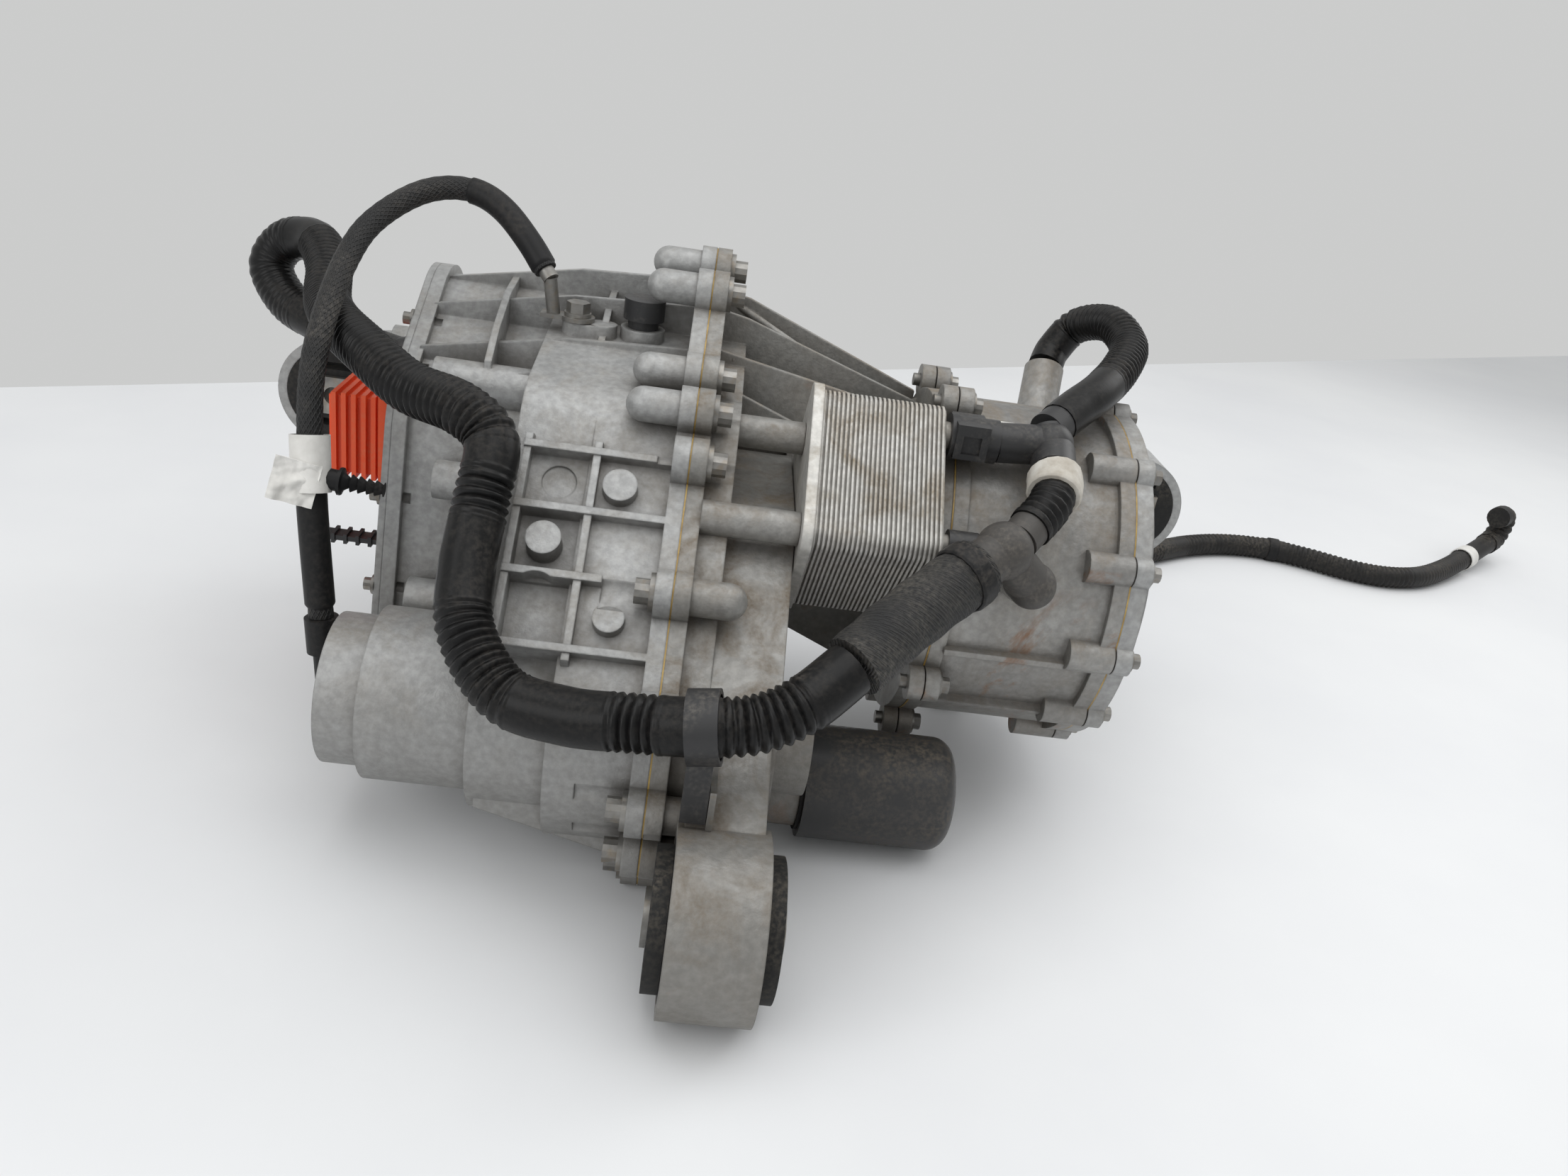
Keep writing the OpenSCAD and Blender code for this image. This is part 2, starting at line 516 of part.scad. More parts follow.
module motor_cover() color("silver") difference() {
    union() {
        rod(motor_end + seal_t / 2, motor_end + 10, motor_c, motor_r + 2);
        for (a = cover_bolt_angles) rod(motor_end + seal_t / 2, motor_end + 10, cover_bolt(a), 9);
        rod(motor_end + 9, motor_end + 17, motor_c, motor_r - 14);
        rod(motor_end + 16, motor_end + cover_len, motor_c, 46);
        for (i = [0 : 11])
            translate([0, motor_y, motor_z]) rotate([30 * i, 0, 0])
                rib(0, 4, [[motor_end + 6, 30], [motor_end + 22, 30], [motor_end + 22, 56], [motor_end + 12, 86],
                           [motor_end + 6, 86]]);
        across(233, 250 + eye_w / 2 + 5) belt([[eye_right_x, eye_z, eye_r], [motor_end + 15, 44, 12], [motor_end + 15, 106, 12]]);
        translate([motor_end + 2, 205, 36]) cube([20, 72, 76]);
        strut([motor_end + 14, 236, 46], free_route[0] - 18 * heading(free_route, 0), 11.5);
        translate(free_route[0] - 18 * heading(free_route, 0)) sphere(r = 12.4);
        at_end(free_route, true) translate([0, 0, 0.2]) cylinder(h = 18, r = 11.8);
    }
    rod(motor_end - 1, motor_end + 6, motor_c, stator_r - 8);
    rod(motor_end, motor_end + 19, motor_c, 22);
    for (a = cover_bolt_angles) rod(motor_end - 1, motor_end + 11, cover_bolt(a), 3.6);
    translate([eye_right_x, 400, eye_z]) rotate([90, 0, 0]) cylinder(h = 300, r = eye_r - 6);
}
module cover_gasket() difference() {
    rod(motor_end - seal_t / 2, motor_end + seal_t / 2, motor_c, motor_r + 2);
    rod(motor_end - 1, motor_end + 1, motor_c, stator_r);
    for (a = cover_bolt_angles) rod(motor_end - 1, motor_end + 1, cover_bolt(a), 3.6);
}
module joint_bolts_right() color("silver") for (b = bolts_upper) joint_bolt(flange_t, b, false);
module joint_bolts_left() color("silver") for (b = bolts_lower) joint_bolt(-flange_t, b, true);
module sealant_lines() color("goldenrod") {
    main_seal();
    motor_seal();
    cover_gasket();
}
module cover_bolts() color("silver") {
    lid_screws();
    for (a = motor_bolt_angles) small_bolt(motor_joint_x + 9, motor_bolt(a), 4, 22);
    for (a = cover_bolt_angles) small_bolt(motor_end + 10, cover_bolt(a), 3.5, 24);
}

slots = 36;
module stator_core() color("dimgray") slab(stator_x0, stator_x0 + stator_len) translate(motor_c) difference() {
    circle(r = stator_r - 0.02);
    circle(r = rotor_r + air_gap);
    for (i = [0 : slots - 1]) rotate(360 * i / slots) translate([rotor_r + 3, -2.2]) square([17, 4.4]);
}
module stator_windings() color("peru") {
    for (x = [stator_x0 - 16, stator_x0 + stator_len + 0.2]) ring(x, x + 15.8, motor_c, 81, 64);
    slab(stator_x0 - 0.4, stator_x0 + stator_len + 0.6) translate(motor_c)
        for (i = [0 : slots - 1]) rotate(360 * i / slots) translate([rotor_r + 4, -2]) square([15.5, 4]);
}
rotor_left = -22;
rotor_right = motor_end + 18;
module rotor_shaft() color("lightgray") {
    rod(rotor_left, rotor_right, motor_c, shaft_r);
    rod(stator_x0 - 6, stator_x0 + stator_len + 6, motor_c, 22);
}
module rotor_core() color("slategray") {
    ring(stator_x0, stator_x0 + stator_len, motor_c, rotor_r, 22);
    for (x = [stator_x0 - 5, stator_x0 + stator_len]) ring(x, x + 5, motor_c, rotor_r - 4, 22);
}

// gears: motor pinion, countershaft pair, ring gear
module input_pinion() color("lightsteelblue")
    spur(stage_one_x0 - 2, stage_one_x0 + stage_one_face + 2, motor_c, input_teeth, module_1, input_dir + 180, shaft_r);
module counter_shaft() color("lightgray") rod(-84, 57, counter_c, 12);
module counter_gear() color("lightsteelblue") {
    spur(stage_one_x0, stage_one_x0 + stage_one_face, counter_c, counter_teeth, module_1,
         input_dir + 180 / counter_teeth, 44);
    ring(stage_one_x0 + 9, stage_one_x0 + 19, counter_c, 45, 19);
    ring(stage_one_x0, stage_one_x0 + stage_one_face, counter_c, 20, 12);
}
module counter_pinion() color("lightsteelblue")
    spur(ring_x0 - 2, ring_x0 + ring_face + 2, counter_c, pinion_teeth, module_2, counter_dir + 180, 12);
diff_r = 34;
module ring_gear() color("lightsteelblue") {
    spur(ring_x0, ring_x0 + ring_face, drive_c, ring_teeth, module_2, counter_dir + 180 / ring_teeth, 44);
    ring(ring_x0 + 5, ring_x0 + 15, drive_c, 45, diff_r + 0.04);
}

// differential: case with two hubs, cross pin, two spider gears, two side gears with splined sockets
side_teeth = 14;
spider_teeth = 10;
bevel_m = 2.6;
side_pr = side_teeth * bevel_m / 2;
spider_pr = spider_teeth * bevel_m / 2;
case_half = 27;
module diff_case() color("dimgray") difference() {
    union() {
        rod(diff_x - case_half, diff_x + case_half, drive_c, diff_r);
        rod(ring_x0 + 15.2, ring_x0 + 20, drive_c, 42);
        rod(-85, diff_x, drive_c, 20);
        rod(diff_x, 62, drive_c, hub_r);
    }
    rod(diff_x - 21, diff_x + 21, drive_c, 27);
    rod(-86, 63, drive_c, hub_in + 0.6);
    translate([diff_x, 0, -50]) cylinder(h = 100, r = 6);
    for (s = [-1, 1]) translate([diff_x - 15, s > 0 ? 18 : -60, -12]) cube([30, 42, 24]);
}
module cross_pin() color("lightgray") translate([diff_x, 0, -diff_r + 0.5]) cylinder(h = 2 * diff_r - 1, r = 5.9);

function bevel_points(z, pr, add, ded, half_foot, half_tip, phase) =
    [for (i = [0 : z - 1]) let (a = phase + 360 * i / z)
        each [polar(pr - ded, a - half_foot), polar(pr + add, a - half_tip),
              polar(pr + add, a + half_tip), polar(pr - ded, a + half_foot)]];
// bevel gear drawn with its apex at the origin and its large end at +Z
module bevel(z, pr, apex, add, ded, foot, tip, phase, bore) difference() {
    translate([0, 0, apex]) mirror([0, 0, 1])
        linear_extrude(0.42 * apex, scale = 0.58) polygon(bevel_points(z, pr, add, ded, foot, tip, phase));
    translate([0, 0, -1]) cylinder(h = 100, r = bore);
}
// the socket starts behind a wider mouth, clear of the spider gears
mouth_r = 12.6;
mouth_h = 10.7;
module side_gear(hub_len) difference() {
    union() {
        bevel(side_teeth, side_pr, spider_pr, 2.2, 2.9, 0.25 * 360 / side_teeth, 0.12 * 360 / side_teeth, 0, socket_r);
        translate([0, 0, spider_pr]) cylinder(h = hub_len, r = hub_in);
        translate([0, 0, spider_pr]) cylinder(h = 21 - spider_pr - 0.4, r = side_pr - 3.4);
    }
    translate([0, 0, -1]) cylinder(h = 100, r = socket_r);
    translate([0, 0, -1]) cylinder(h = mouth_h + 1, r = mouth_r);
}
module side_gear_left() color("lightsteelblue") translate([diff_x, 0, 0]) rotate([0, -90, 0]) side_gear(24);
module side_gear_right() color("lightsteelblue") translate([diff_x, 0, 0]) rotate([0, 90, 0]) side_gear(34);
module spider(dir) translate([diff_x, 0, 0]) rotate([dir > 0 ? 0 : 180, 0, 0]) {
    bevel(spider_teeth, spider_pr, side_pr, 1.5, 2.2, 0.25 * 360 / spider_teeth, 0.12 * 360 / spider_teeth,
          180 / spider_teeth, 6.1);
    translate([0, 0, side_pr]) difference() {
        cylinder(h = 5, r = spider_pr - 3);
        translate([0, 0, -1]) cylinder(h = 30, r = 6.1);
    }
}
module spider_top() color("lightsteelblue") spider(1);
module spider_bottom() color("lightsteelblue") spider(-1);

// bearings and output seals
module bearings() color("lightgray") {
    ring(-18, -7, motor_c, 19.98, shaft_r + run_fit);
    ring(47, 60, motor_c, 21.98, shaft_r + run_fit);
    ring(motor_end + 7, motor_end + 18, motor_c, 21.98, shaft_r + run_fit);
    ring(-83, -71, counter_c, 19.98, 12 + run_fit);
    ring(47, 57, counter_c, 19.98, 12 + run_fit);
    ring(-85, -72, drive_c, 27.98, 20 + run_fit);
    ring(47, 58, drive_c, 23.98, hub_r + run_fit);
}
module output_seals() color("black") {
    ring(out_x + 0.5, out_x + 8.5, drive_c, 25.9, 14.5);
    ring(right_out_x - 8.5, right_out_x - 0.5, drive_c, 23.9, 14.5);
}

// oil cooler on its posts, with ports and the coolant fittings
corner = 9;
function cooler_line(grow) =
    [for (p = [[corner, corner], [cooler_u - corner, corner], [cooler_u - corner, cooler_v - corner],
               [corner, cooler_v - corner]]) let (q = on_plate(p[0], p[1])) [q[0], q[1], corner + grow]];
module cooler_core() color("gainsboro") {
    slab(cooler_x0 + 0.2, cooler_end) belt(cooler_line(-1.6));
    for (i = [0 : cooler_plates - 1])
        slab(cooler_x0 + 0.2 + i * plate_pitch, cooler_x0 + 1.5 + i * plate_pitch) belt(cooler_line(0));
}
module cooler_base() color("silver") difference() {
    slab(cooler_x0 - cooler_base_t + 0.2, cooler_x0) belt(cooler_line(3));
    for (p = post_places) rod(cooler_x0 - cooler_base_t - 1, cooler_x0 + 1, p, 3.6);
}
module cooler_ports() color("silver") {
    rod(cooler_end + 0.1, cooler_end + 17, upper_port, 7.5);
    rod(cooler_end + 0.1, cooler_end + 15, lower_port, 5.5);
}
module quick_connector() color("black") difference() {
    union() {
        rod(cooler_end + 3, cooler_end + 30, upper_port, 12);
        translate([cooler_end + 5, upper_port[0] - 14, upper_port[1] - 8]) cube([18, 25, 19]);
        rod(cooler_end + 3, cooler_end + 7, upper_port, 12.8);
    }
    rod(cooler_end, cooler_end + 18, upper_port, 7.8);
    translate([cooler_end + 9, upper_port[0] - 20, upper_port[1] - 5]) cube([10, 8.5, 10]);
}
// a stub that meets a hose end square, joined to a fitting's centre
module hose_stub(p, far, centre, r) {
    i = far ? len(p) - 1 : 0;
    tip = p[i] + (far ? r : -r) * heading(p, i);
    at_end(p, !far) translate([0, 0, 0.3]) cylinder(h = r, r = r);
    strut(centre, tip, r - 0.3);
}
module tee_fitting() color("black") difference() {
    union() {
        translate(tee_c) sphere(r = 13);
        strut([cooler_end + 30.4, upper_port[0], upper_port[1]], tee_c, 11);
        hose_stub(upper_route, false, tee_c, 11);
        at_end(branch_route, true) translate([0, 0, 0.3]) cylinder(h = 16, r = 12.2);
    }
    rod(cooler_end, cooler_end + 30.3, upper_port, 40);
}
module lower_plug() color("black") difference() {
    rod(cooler_end + 4, cooler_end + 20, lower_port, 8.4);
    rod(cooler_end, cooler_end + 16, lower_port, 5.8);
}
module junction_fitting() color("dimgray") {
    translate(junction) sphere(r = 15);
    hose_stub(sleeve_route, true, junction, 12.6);
    hose_stub(branch_route, true, junction, 10.6);
    strut(junction, motor_port, 11.5);
    translate(motor_port) sphere(r = 12.6);
    strut(motor_port, motor_port + [0, 13.5, -3.375], 12);
}
module oil_filter() color("#303236") translate([filter_x0, filter_c[0], filter_c[1]]) rotate([0, 90, 0]) {
    cylinder(h = filter_len - 12, r = filter_r);
    translate([0, 0, filter_len - 12]) cylinder(h = 12, r = filter_r - 12);
    translate([0, 0, filter_len - 12]) rotate_extrude() translate([filter_r - 12, 0]) circle(r = 12);
}
module filter_seal() color("black") ring(filter_x0 - 1.9, filter_x0 - 0.1, filter_c, 29, 20);

// mount bushes
module front_bush_rubber() color("#262626") difference() {
    union() {
        rod(ring_c[0] - ring_w / 2 - 8, ring_c[0] + ring_w / 2 + 8, [ring_c[1], ring_c[2]], 30);
        rod(ring_c[0] - ring_w / 2, ring_c[0] + ring_w / 2, [ring_c[1], ring_c[2]], ring_r - 7.02);
        for (s = [-1, 1]) rod(ring_c[0] + s * (ring_w / 2 + 4.2) - 4, ring_c[0] + s * (ring_w / 2 + 4.2) + 4,
                              [ring_c[1], ring_c[2]], 34);
    }
    rod(ring_c[0] - 50, ring_c[0] + 50, [ring_c[1], ring_c[2]], 14);
}
module front_bush_sleeve() color("silver")
    ring(ring_c[0] - ring_w / 2 - 11, ring_c[0] + ring_w / 2 + 11, [ring_c[1], ring_c[2]], 13.98, bush_hole_r);
module rear_rubber(x, y0) translate([x, 0, eye_z]) across(y0, 277) difference() {
    circle(r = eye_r - 6.02);
    square([34, 26], center = true);
    for (s = [-1, 1]) translate([0, 20 * s]) square([30, 5], center = true);
}
module rear_core(x, y0) translate([x, 0, eye_z]) across(y0 - 4, 281) difference() {
    square([33.96, 25.96], center = true);
    circle(r = bush_hole_r);
}
module rear_bush_rubbers() color("#262626") {
    rear_rubber(eye_left_x, 248);
    rear_rubber(eye_right_x, 233);
}
module rear_bush_cores() color("gray") {
    rear_core(eye_left_x, 248);
    rear_core(eye_right_x, 233);
}

// electrical fittings on the left casting
hv_x = lid_x - 7;
module hv_connector() color("#d2481f") {
    translate([hv_x - 5, 110, 70]) cube([4.9, 62, 56]);
    translate([hv_x - 0.2, 117, 77]) cube([14, 48, 42]);
    translate([hv_x - 34, 115, 75]) cube([29.1, 52, 46]);
    for (i = [0 : 4]) translate([hv_x - 32 + 5.6 * i, 112, 72.5]) cube([2.6, 58, 51]);
}
module breather_cap() color("black") translate([breather_c[0], breather_c[1], post_top + 0.2]) {
    translate([0, 0, -22]) cylinder(h = 22, r = 6);
    cylinder(h = 5, r = 9);
    translate([0, 0, 5]) cylinder(h = 12, r = 12);
}
module ground_lug() color("lightgray") translate([post_c[0], post_c[1], 0]) {
    difference() {
        translate([0, 0, post_top + 0.1]) cylinder(h = 2.4, r = 10);
        translate([0, 0, post_top - 1]) cylinder(h = 6, r = 4.2);
    }
    translate([-21, -5.5, post_top + 0.1]) cube([14, 11, 2.4]);
    translate([-post_c[0], -post_c[1], 0]) {
        at_end(cable_route, true) translate([0, 0, 0.3]) cylinder(h = 6, r = 4.6);
        strut([post_c[0] - 14, post_c[1], post_top + 2], cable_route[0] - 5 * heading(cable_route, 0), 3.9);
    }
}
module ground_bolt() color("silver") translate([post_c[0], post_c[1], post_top + 2.6]) {
    cylinder(h = 2, r = 7.8);
    translate([0, 0, 2]) cylinder(h = 6, r = 7, $fn = 6);
    translate([0, 0, -20]) cylinder(h = 20.5, r = 4);
}
module cable_standoff() color("black") {
    translate([hv_x - 36, 94, 40]) cube([35.9, 10, 3]);
    for (i = [0 : 4]) translate([hv_x - 34 + 7 * i, 93, 38.5]) cube([2, 12, 6]);
}

// soft runs: hoses, sleeve, cable, and the pieces on them
module on_route(p, i) {
    t = heading(p, i);
    translate(p[i]) rotate([0, acos(t[2]), atan2(t[1], t[0])]) children();
}
module sleeve(r_out, r_in, h) difference() {
    cylinder(h = h, r = r_out, center = true);
    cylinder(h = h + 2, r = r_in, center = true);
}
module main_hose() color("#202020") tube(main_route, main_hose_d, 10);
module braided_sleeve() color("#181818") tube(sleeve_route, main_hose_d + 5, 12);
module upper_hose() color("#202020") tube(upper_route, upper_hose_d, 10);
module branch_hose() color("#202020") tube(branch_route, upper_hose_d, 10);
inlet_c = [200, 124];
module inlet_fitting() color("black") {
    rod(hv_x - 14, hv_x - 0.2, inlet_c, 12.5);
    translate([hv_x - 14, inlet_c[0], inlet_c[1]]) sphere(r = 12);
    hose_stub(main_route, false, [hv_x - 14, inlet_c[0], inlet_c[1]], 11.4);
}
module hose_clip() color("black") {
    on_route(main_route, 18) sleeve(17.6, 15.1, 15);
    difference() {
        translate([16, -104, 14]) cube([12, 8, 32]);
        on_route(main_route, 18) cylinder(h = 60, r = 16, center = true);
    }
}
module clip_bracket() color("silver") difference() {
    translate([28.4, -104, 4]) cube([3, 26, 28]);
    slab(ring_c[0] - 20, ring_c[0] + 20) belt([[ring_c[1], ring_c[2], 30.2], [-42, 30, 12.2], [-30, -30, 26.2]]);
    slab(ring_c[0] - 30, ring_c[0] + 30) translate([ring_c[1], ring_c[2]]) circle(r = ring_r + 0.2);
}
module free_hose() color("#202020") tube(free_route, free_hose_d, 10);
module free_elbow() color("black") at_end(free_route, false) {
    translate([0, 0, 0.5]) cylinder(h = 26, r = 12);
    translate([0, 0, 26]) sphere(r = 13);
    translate([0, 0, 26]) rotate([0, -90, 0]) cylinder(h = 26, r = 12);
}
module free_collar() color("white") on_route(free_route, 17) sleeve(12.6, 11.6, 16);
module ground_cable() color("#1a1a1a") tube(cable_route, cable_d, 10);
module cable_tag() color("white") on_route(cable_route, 15) sleeve(10.2, 9.4, 30);
module cable_end() color("#151515") at_end(cable_route, false) {
    translate([0, 0, 0.5]) cylinder(h = 20, r = 9);
    translate([0, 0, 20]) cylinder(h = 22, r = 6);
}

left_casing();
inverter_cover();
power_module();
inverter_board();
mid_casing();
motor_housing();
motor_cover();
sealant_lines();
joint_bolts_right();
joint_bolts_left();
cover_bolts();
stator_core();
stator_windings();
rotor_shaft();
rotor_core();
input_pinion();
counter_shaft();
counter_gear();
counter_pinion();
ring_gear();
diff_case();
cross_pin();
side_gear_left();
side_gear_right();
spider_top();
spider_bottom();
bearings();
output_seals();
cooler_core();
cooler_base();
cooler_ports();
quick_connector();
tee_fitting();
lower_plug();
junction_fitting();
oil_filter();
filter_seal();
front_bush_rubber();
front_bush_sleeve();
rear_bush_rubbers();
rear_bush_cores();
hv_connector();
breather_cap();
ground_lug();
ground_bolt();
cable_standoff();
inlet_fitting();
main_hose();
braided_sleeve();
upper_hose();
branch_hose();
hose_clip();
clip_bracket();
free_hose();
free_elbow();
free_collar();
ground_cable();
cable_tag();
cable_end();
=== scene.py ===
import math

import bpy
from mathutils import Matrix, Vector


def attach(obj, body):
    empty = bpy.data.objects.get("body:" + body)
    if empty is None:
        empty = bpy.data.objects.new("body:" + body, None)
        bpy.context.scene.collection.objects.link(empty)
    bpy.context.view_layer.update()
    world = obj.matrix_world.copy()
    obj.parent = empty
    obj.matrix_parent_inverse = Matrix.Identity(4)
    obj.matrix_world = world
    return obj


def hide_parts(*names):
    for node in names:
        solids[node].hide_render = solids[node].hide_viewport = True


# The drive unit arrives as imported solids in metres: castings, gears, bolts and fittings.
# Their meshes stay as they are. Further down each gets its finish, or a piece that replaces it.
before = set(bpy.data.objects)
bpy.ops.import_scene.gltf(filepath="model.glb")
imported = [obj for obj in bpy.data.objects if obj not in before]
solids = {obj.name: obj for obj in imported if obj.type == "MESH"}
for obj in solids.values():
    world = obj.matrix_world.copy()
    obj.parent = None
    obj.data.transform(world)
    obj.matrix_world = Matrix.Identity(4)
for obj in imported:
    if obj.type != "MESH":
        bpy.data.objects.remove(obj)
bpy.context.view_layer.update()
scene = bpy.context.scene
scene.view_settings.view_transform = "Standard"


# Camera: the unit is seen from the front and a little above, with the picture rolled slightly.
# Its place and its three axes were solved on corners of the castings.
PICTURE_W = 2212
FOCAL_PX = 1662
SENSOR_MM = 36.0
VIEW_DEPTH = 30
CAMERA_PLACE = Vector((0.00435, -0.5453, 0.3448))
CAMERA_RIGHT = Vector((0.98849734, -0.02318031, 0.14945127))
CAMERA_DOWN = Vector((0.12506292, -0.43038066, -0.89394169))
CAMERA_AHEAD = Vector((0.08504279, 0.9023498, -0.42253114))
camera_data = bpy.data.cameras.new("bench_camera")
camera_data.sensor_fit = "HORIZONTAL"
camera_data.sensor_width = SENSOR_MM
camera_data.lens = SENSOR_MM * FOCAL_PX / PICTURE_W
camera_data.clip_end = VIEW_DEPTH
camera = bpy.data.objects.new("bench_camera", camera_data)
turn = Matrix((CAMERA_RIGHT, -CAMERA_DOWN, -CAMERA_AHEAD)).transposed()
camera.matrix_world = Matrix.Translation(CAMERA_PLACE) @ turn.to_4x4()
scene.collection.objects.link(camera)
scene.camera = camera


# Bench and light: a white table whose back edge shows behind the unit, under a large soft lamp and two
# weaker ones at the left front and the right back. The even pale world stands for the wall behind, and
# the metal reflects it.
FLOOR_Z = -0.078
BENCH_EDGE = Vector((0.105, 1.06, FLOOR_Z))
BENCH_TURN = math.radians(31.2)
BENCH_WIDTH = 16.0
BENCH_DEPTH = 8.0
BLACK = (0, 0, 0, 1)
WHITE = (1, 1, 1, 1)


def new_finish(name):
    """An empty material with its node tree and its shader."""
    finish = bpy.data.materials.new(name)
    finish.use_nodes = True
    tree = finish.node_tree
    return finish, tree, tree.nodes["Principled BSDF"]


def add_node(tree, kind, values=None, **settings):
    """A node with its settings, and input values or links by socket name or number."""
    made = tree.nodes.new(kind)
    for key, value in settings.items():
        setattr(made, key, value)
    for key, value in (values or {}).items():
        if isinstance(value, bpy.types.NodeSocket):
            tree.links.new(value, made.inputs[key])
        else:
            made.inputs[key].default_value = value
    return made


def grain(tree, scale, detail=4.0, rough=0.55, warp=0.0):
    """Noise on the piece's own coordinates, as a value socket."""
    where = add_node(tree, "ShaderNodeTexCoord").outputs["Object"]
    made = add_node(
        tree, "ShaderNodeTexNoise",
        {"Vector": where, "Scale": scale, "Detail": detail, "Roughness": rough, "Distortion": warp},
    )
    return made.outputs["Fac"]


def ramp(tree, value, low, high, low_colour=BLACK, high_colour=WHITE):
    """A value stretched between two stops, as a colour socket."""
    made = add_node(tree, "ShaderNodeValToRGB", {"Fac": value})
    made.color_ramp.elements[0].position = low
    made.color_ramp.elements[0].color = low_colour
    made.color_ramp.elements[1].position = high
    made.color_ramp.elements[1].color = high_colour
    return made.outputs["Color"]


def deselect():
    """Nothing stays selected before the next operator."""
    for piece in bpy.context.selected_objects:
        piece.select_set(False)


deselect()
to_front = Vector((math.sin(BENCH_TURN), -math.cos(BENCH_TURN), 0))
bench_middle = BENCH_EDGE + to_front * BENCH_DEPTH / 2
bpy.ops.mesh.primitive_plane_add(size=1.0, location=bench_middle, rotation=(0, 0, BENCH_TURN))
bench = bpy.context.object
bench.name = "bench"
bench.scale = (BENCH_WIDTH, BENCH_DEPTH, 1)
bpy.ops.object.transform_apply(location=True, rotation=True, scale=True)
bench_finish, tree, shader = new_finish("bench_white")
bench_colour = ramp(
    tree, grain(tree, 3.0, 5.0), 0.3, 0.7, (0.74, 0.75, 0.77, 1), (0.8, 0.81, 0.82, 1)
)
tree.links.new(bench_colour, shader.inputs["Base Color"])
shader.inputs["Roughness"].default_value = 0.5
bench.data.materials.append(bench_finish)

# Each lamp has its place, the point it is aimed at, its width in metres and its watts.
LAMPS = {
    "overhead": ((0.15, -0.1, 1.7), (0.05, 0.05, 0.0), 1.8, 16.0),
    "left_front": ((-1.3, -1.2, 1.0), (0.0, 0.0, 0.05), 1.2, 10.0),
    "right_back": ((1.4, 0.9, 1.1), (0.0, 0.05, 0.05), 1.0, 6.0),
}
for name, (place, target, width, watts) in LAMPS.items():
    lamp_data = bpy.data.lights.new(name, "AREA")
    lamp_data.size = width
    lamp_data.energy = watts
    lamp = bpy.data.objects.new(name, lamp_data)
    lamp.location = place
    lamp.rotation_mode = "QUATERNION"
    lamp.rotation_quaternion = (Vector(target) - Vector(place)).to_track_quat("-Z", "Y")
    scene.collection.objects.link(lamp)

WORLD_COLOUR = (0.77, 0.775, 0.77, 1)
WORLD_STRENGTH = 0.78
world = bpy.data.worlds.new("pale_room")
scene.world = world
world.use_nodes = True
world_light = world.node_tree.nodes["Background"]
world_light.inputs["Color"].default_value = WORLD_COLOUR
world_light.inputs["Strength"].default_value = WORLD_STRENGTH


# Ground cable: a copper braid in a woven black sleeve, crimped into the lug on the ground post. It
# arches over the inverter housing and hangs in front of the connector. A crumpled blank tag, a push clip
# and two shrink sleeves are on it.
CABLE_D = 0.014
CABLE_STEP = 0.0015
CABLE_FIT = 0.95
CABLE_WAVE = 0.012
CABLE_WAVE_RATE = 900
CABLE_POINTS = (
    (-96, 146, 202), (-107, 154, 214), (-122, 163, 227), (-136, 169, 234), (-150, 171, 236),
    (-164, 169, 234), (-176, 162, 229), (-188, 150, 220), (-196, 136, 210), (-200, 118, 197),
    (-201, 99, 184), (-201, 82, 171), (-201, 68, 156), (-200, 58, 140), (-198, 50, 123),
    (-196, 44, 106), (-194, 39, 86), (-192, 36, 66), (-190, 34, 44), (-188, 32, 23),
)
BAND_EDGE = 0.0012
BAND_DROP = 0.001


def paint(finish, *names):
    """CAD solids get a finish in place of their plain one."""
    for name in names:
        solids[name].data.materials.clear()
        solids[name].data.materials.append(finish)


def grey(value):
    """A value as a colour without hue."""
    return (value, value, value, 1)


def mix(tree, amount, first, second, blend="MIX"):
    """Two colours mixed by an amount, each a socket or a colour."""
    made = add_node(tree, "ShaderNodeMix", data_type="RGBA", blend_type=blend)
    inputs = made.inputs
    for socket, value in ((inputs[0], amount), (inputs[6], first), (inputs[7], second)):
        if isinstance(value, bpy.types.NodeSocket):
            tree.links.new(value, socket)
        else:
            socket.default_value = value
    return made.outputs[2]


def combine(tree, first, second, operation="MULTIPLY"):
    """Two values multiplied, or put together by another operation, as a value socket."""
    made = add_node(tree, "ShaderNodeMath", {0: first, 1: second}, operation=operation)
    return made.outputs[0]


def facing_up(tree):
    """How far the surface faces upwards, from -1 to 1, as a value socket."""
    normal = add_node(tree, "ShaderNodeNewGeometry").outputs["Normal"]
    return add_node(tree, "ShaderNodeSeparateXYZ", {0: normal}).outputs[2]


def dents(tree, shader, height, strength, depth, under=None):
    """Bump from a height socket, on top of an earlier bump if there is one."""
    made = add_node(
        tree, "ShaderNodeBump", {"Height": height, "Strength": strength, "Distance": depth}
    )
    if under is not None:
        tree.links.new(under, made.inputs["Normal"])
    tree.links.new(made.outputs["Normal"], shader.inputs["Normal"])
    return made.outputs["Normal"]


def smooth_line(points, step):
    """Points in mm joined by a smooth curve, as points in metres about one step apart."""
    knots = [Vector(p) / 1000 for p in points]
    knots = [2 * knots[0] - knots[1], *knots, 2 * knots[-1] - knots[-2]]
    line = []
    for i in range(1, len(knots) - 2):
        a, b, c, d = knots[i - 1 : i + 3]
        count = max(2, round((c - b).length / step))
        for k in range(count):
            t = k / count
            place = 2 * b + (c - a) * t
            place += (2 * a - 5 * b + 4 * c - d) * t**2
            place += (3 * b - a - 3 * c + d) * t**3
            line.append(0.5 * place)
    line.append(knots[-2])
    return line


def line_length(line):
    """Length along a line of points."""
    return sum((b - a).length for a, b in zip(line, line[1:]))


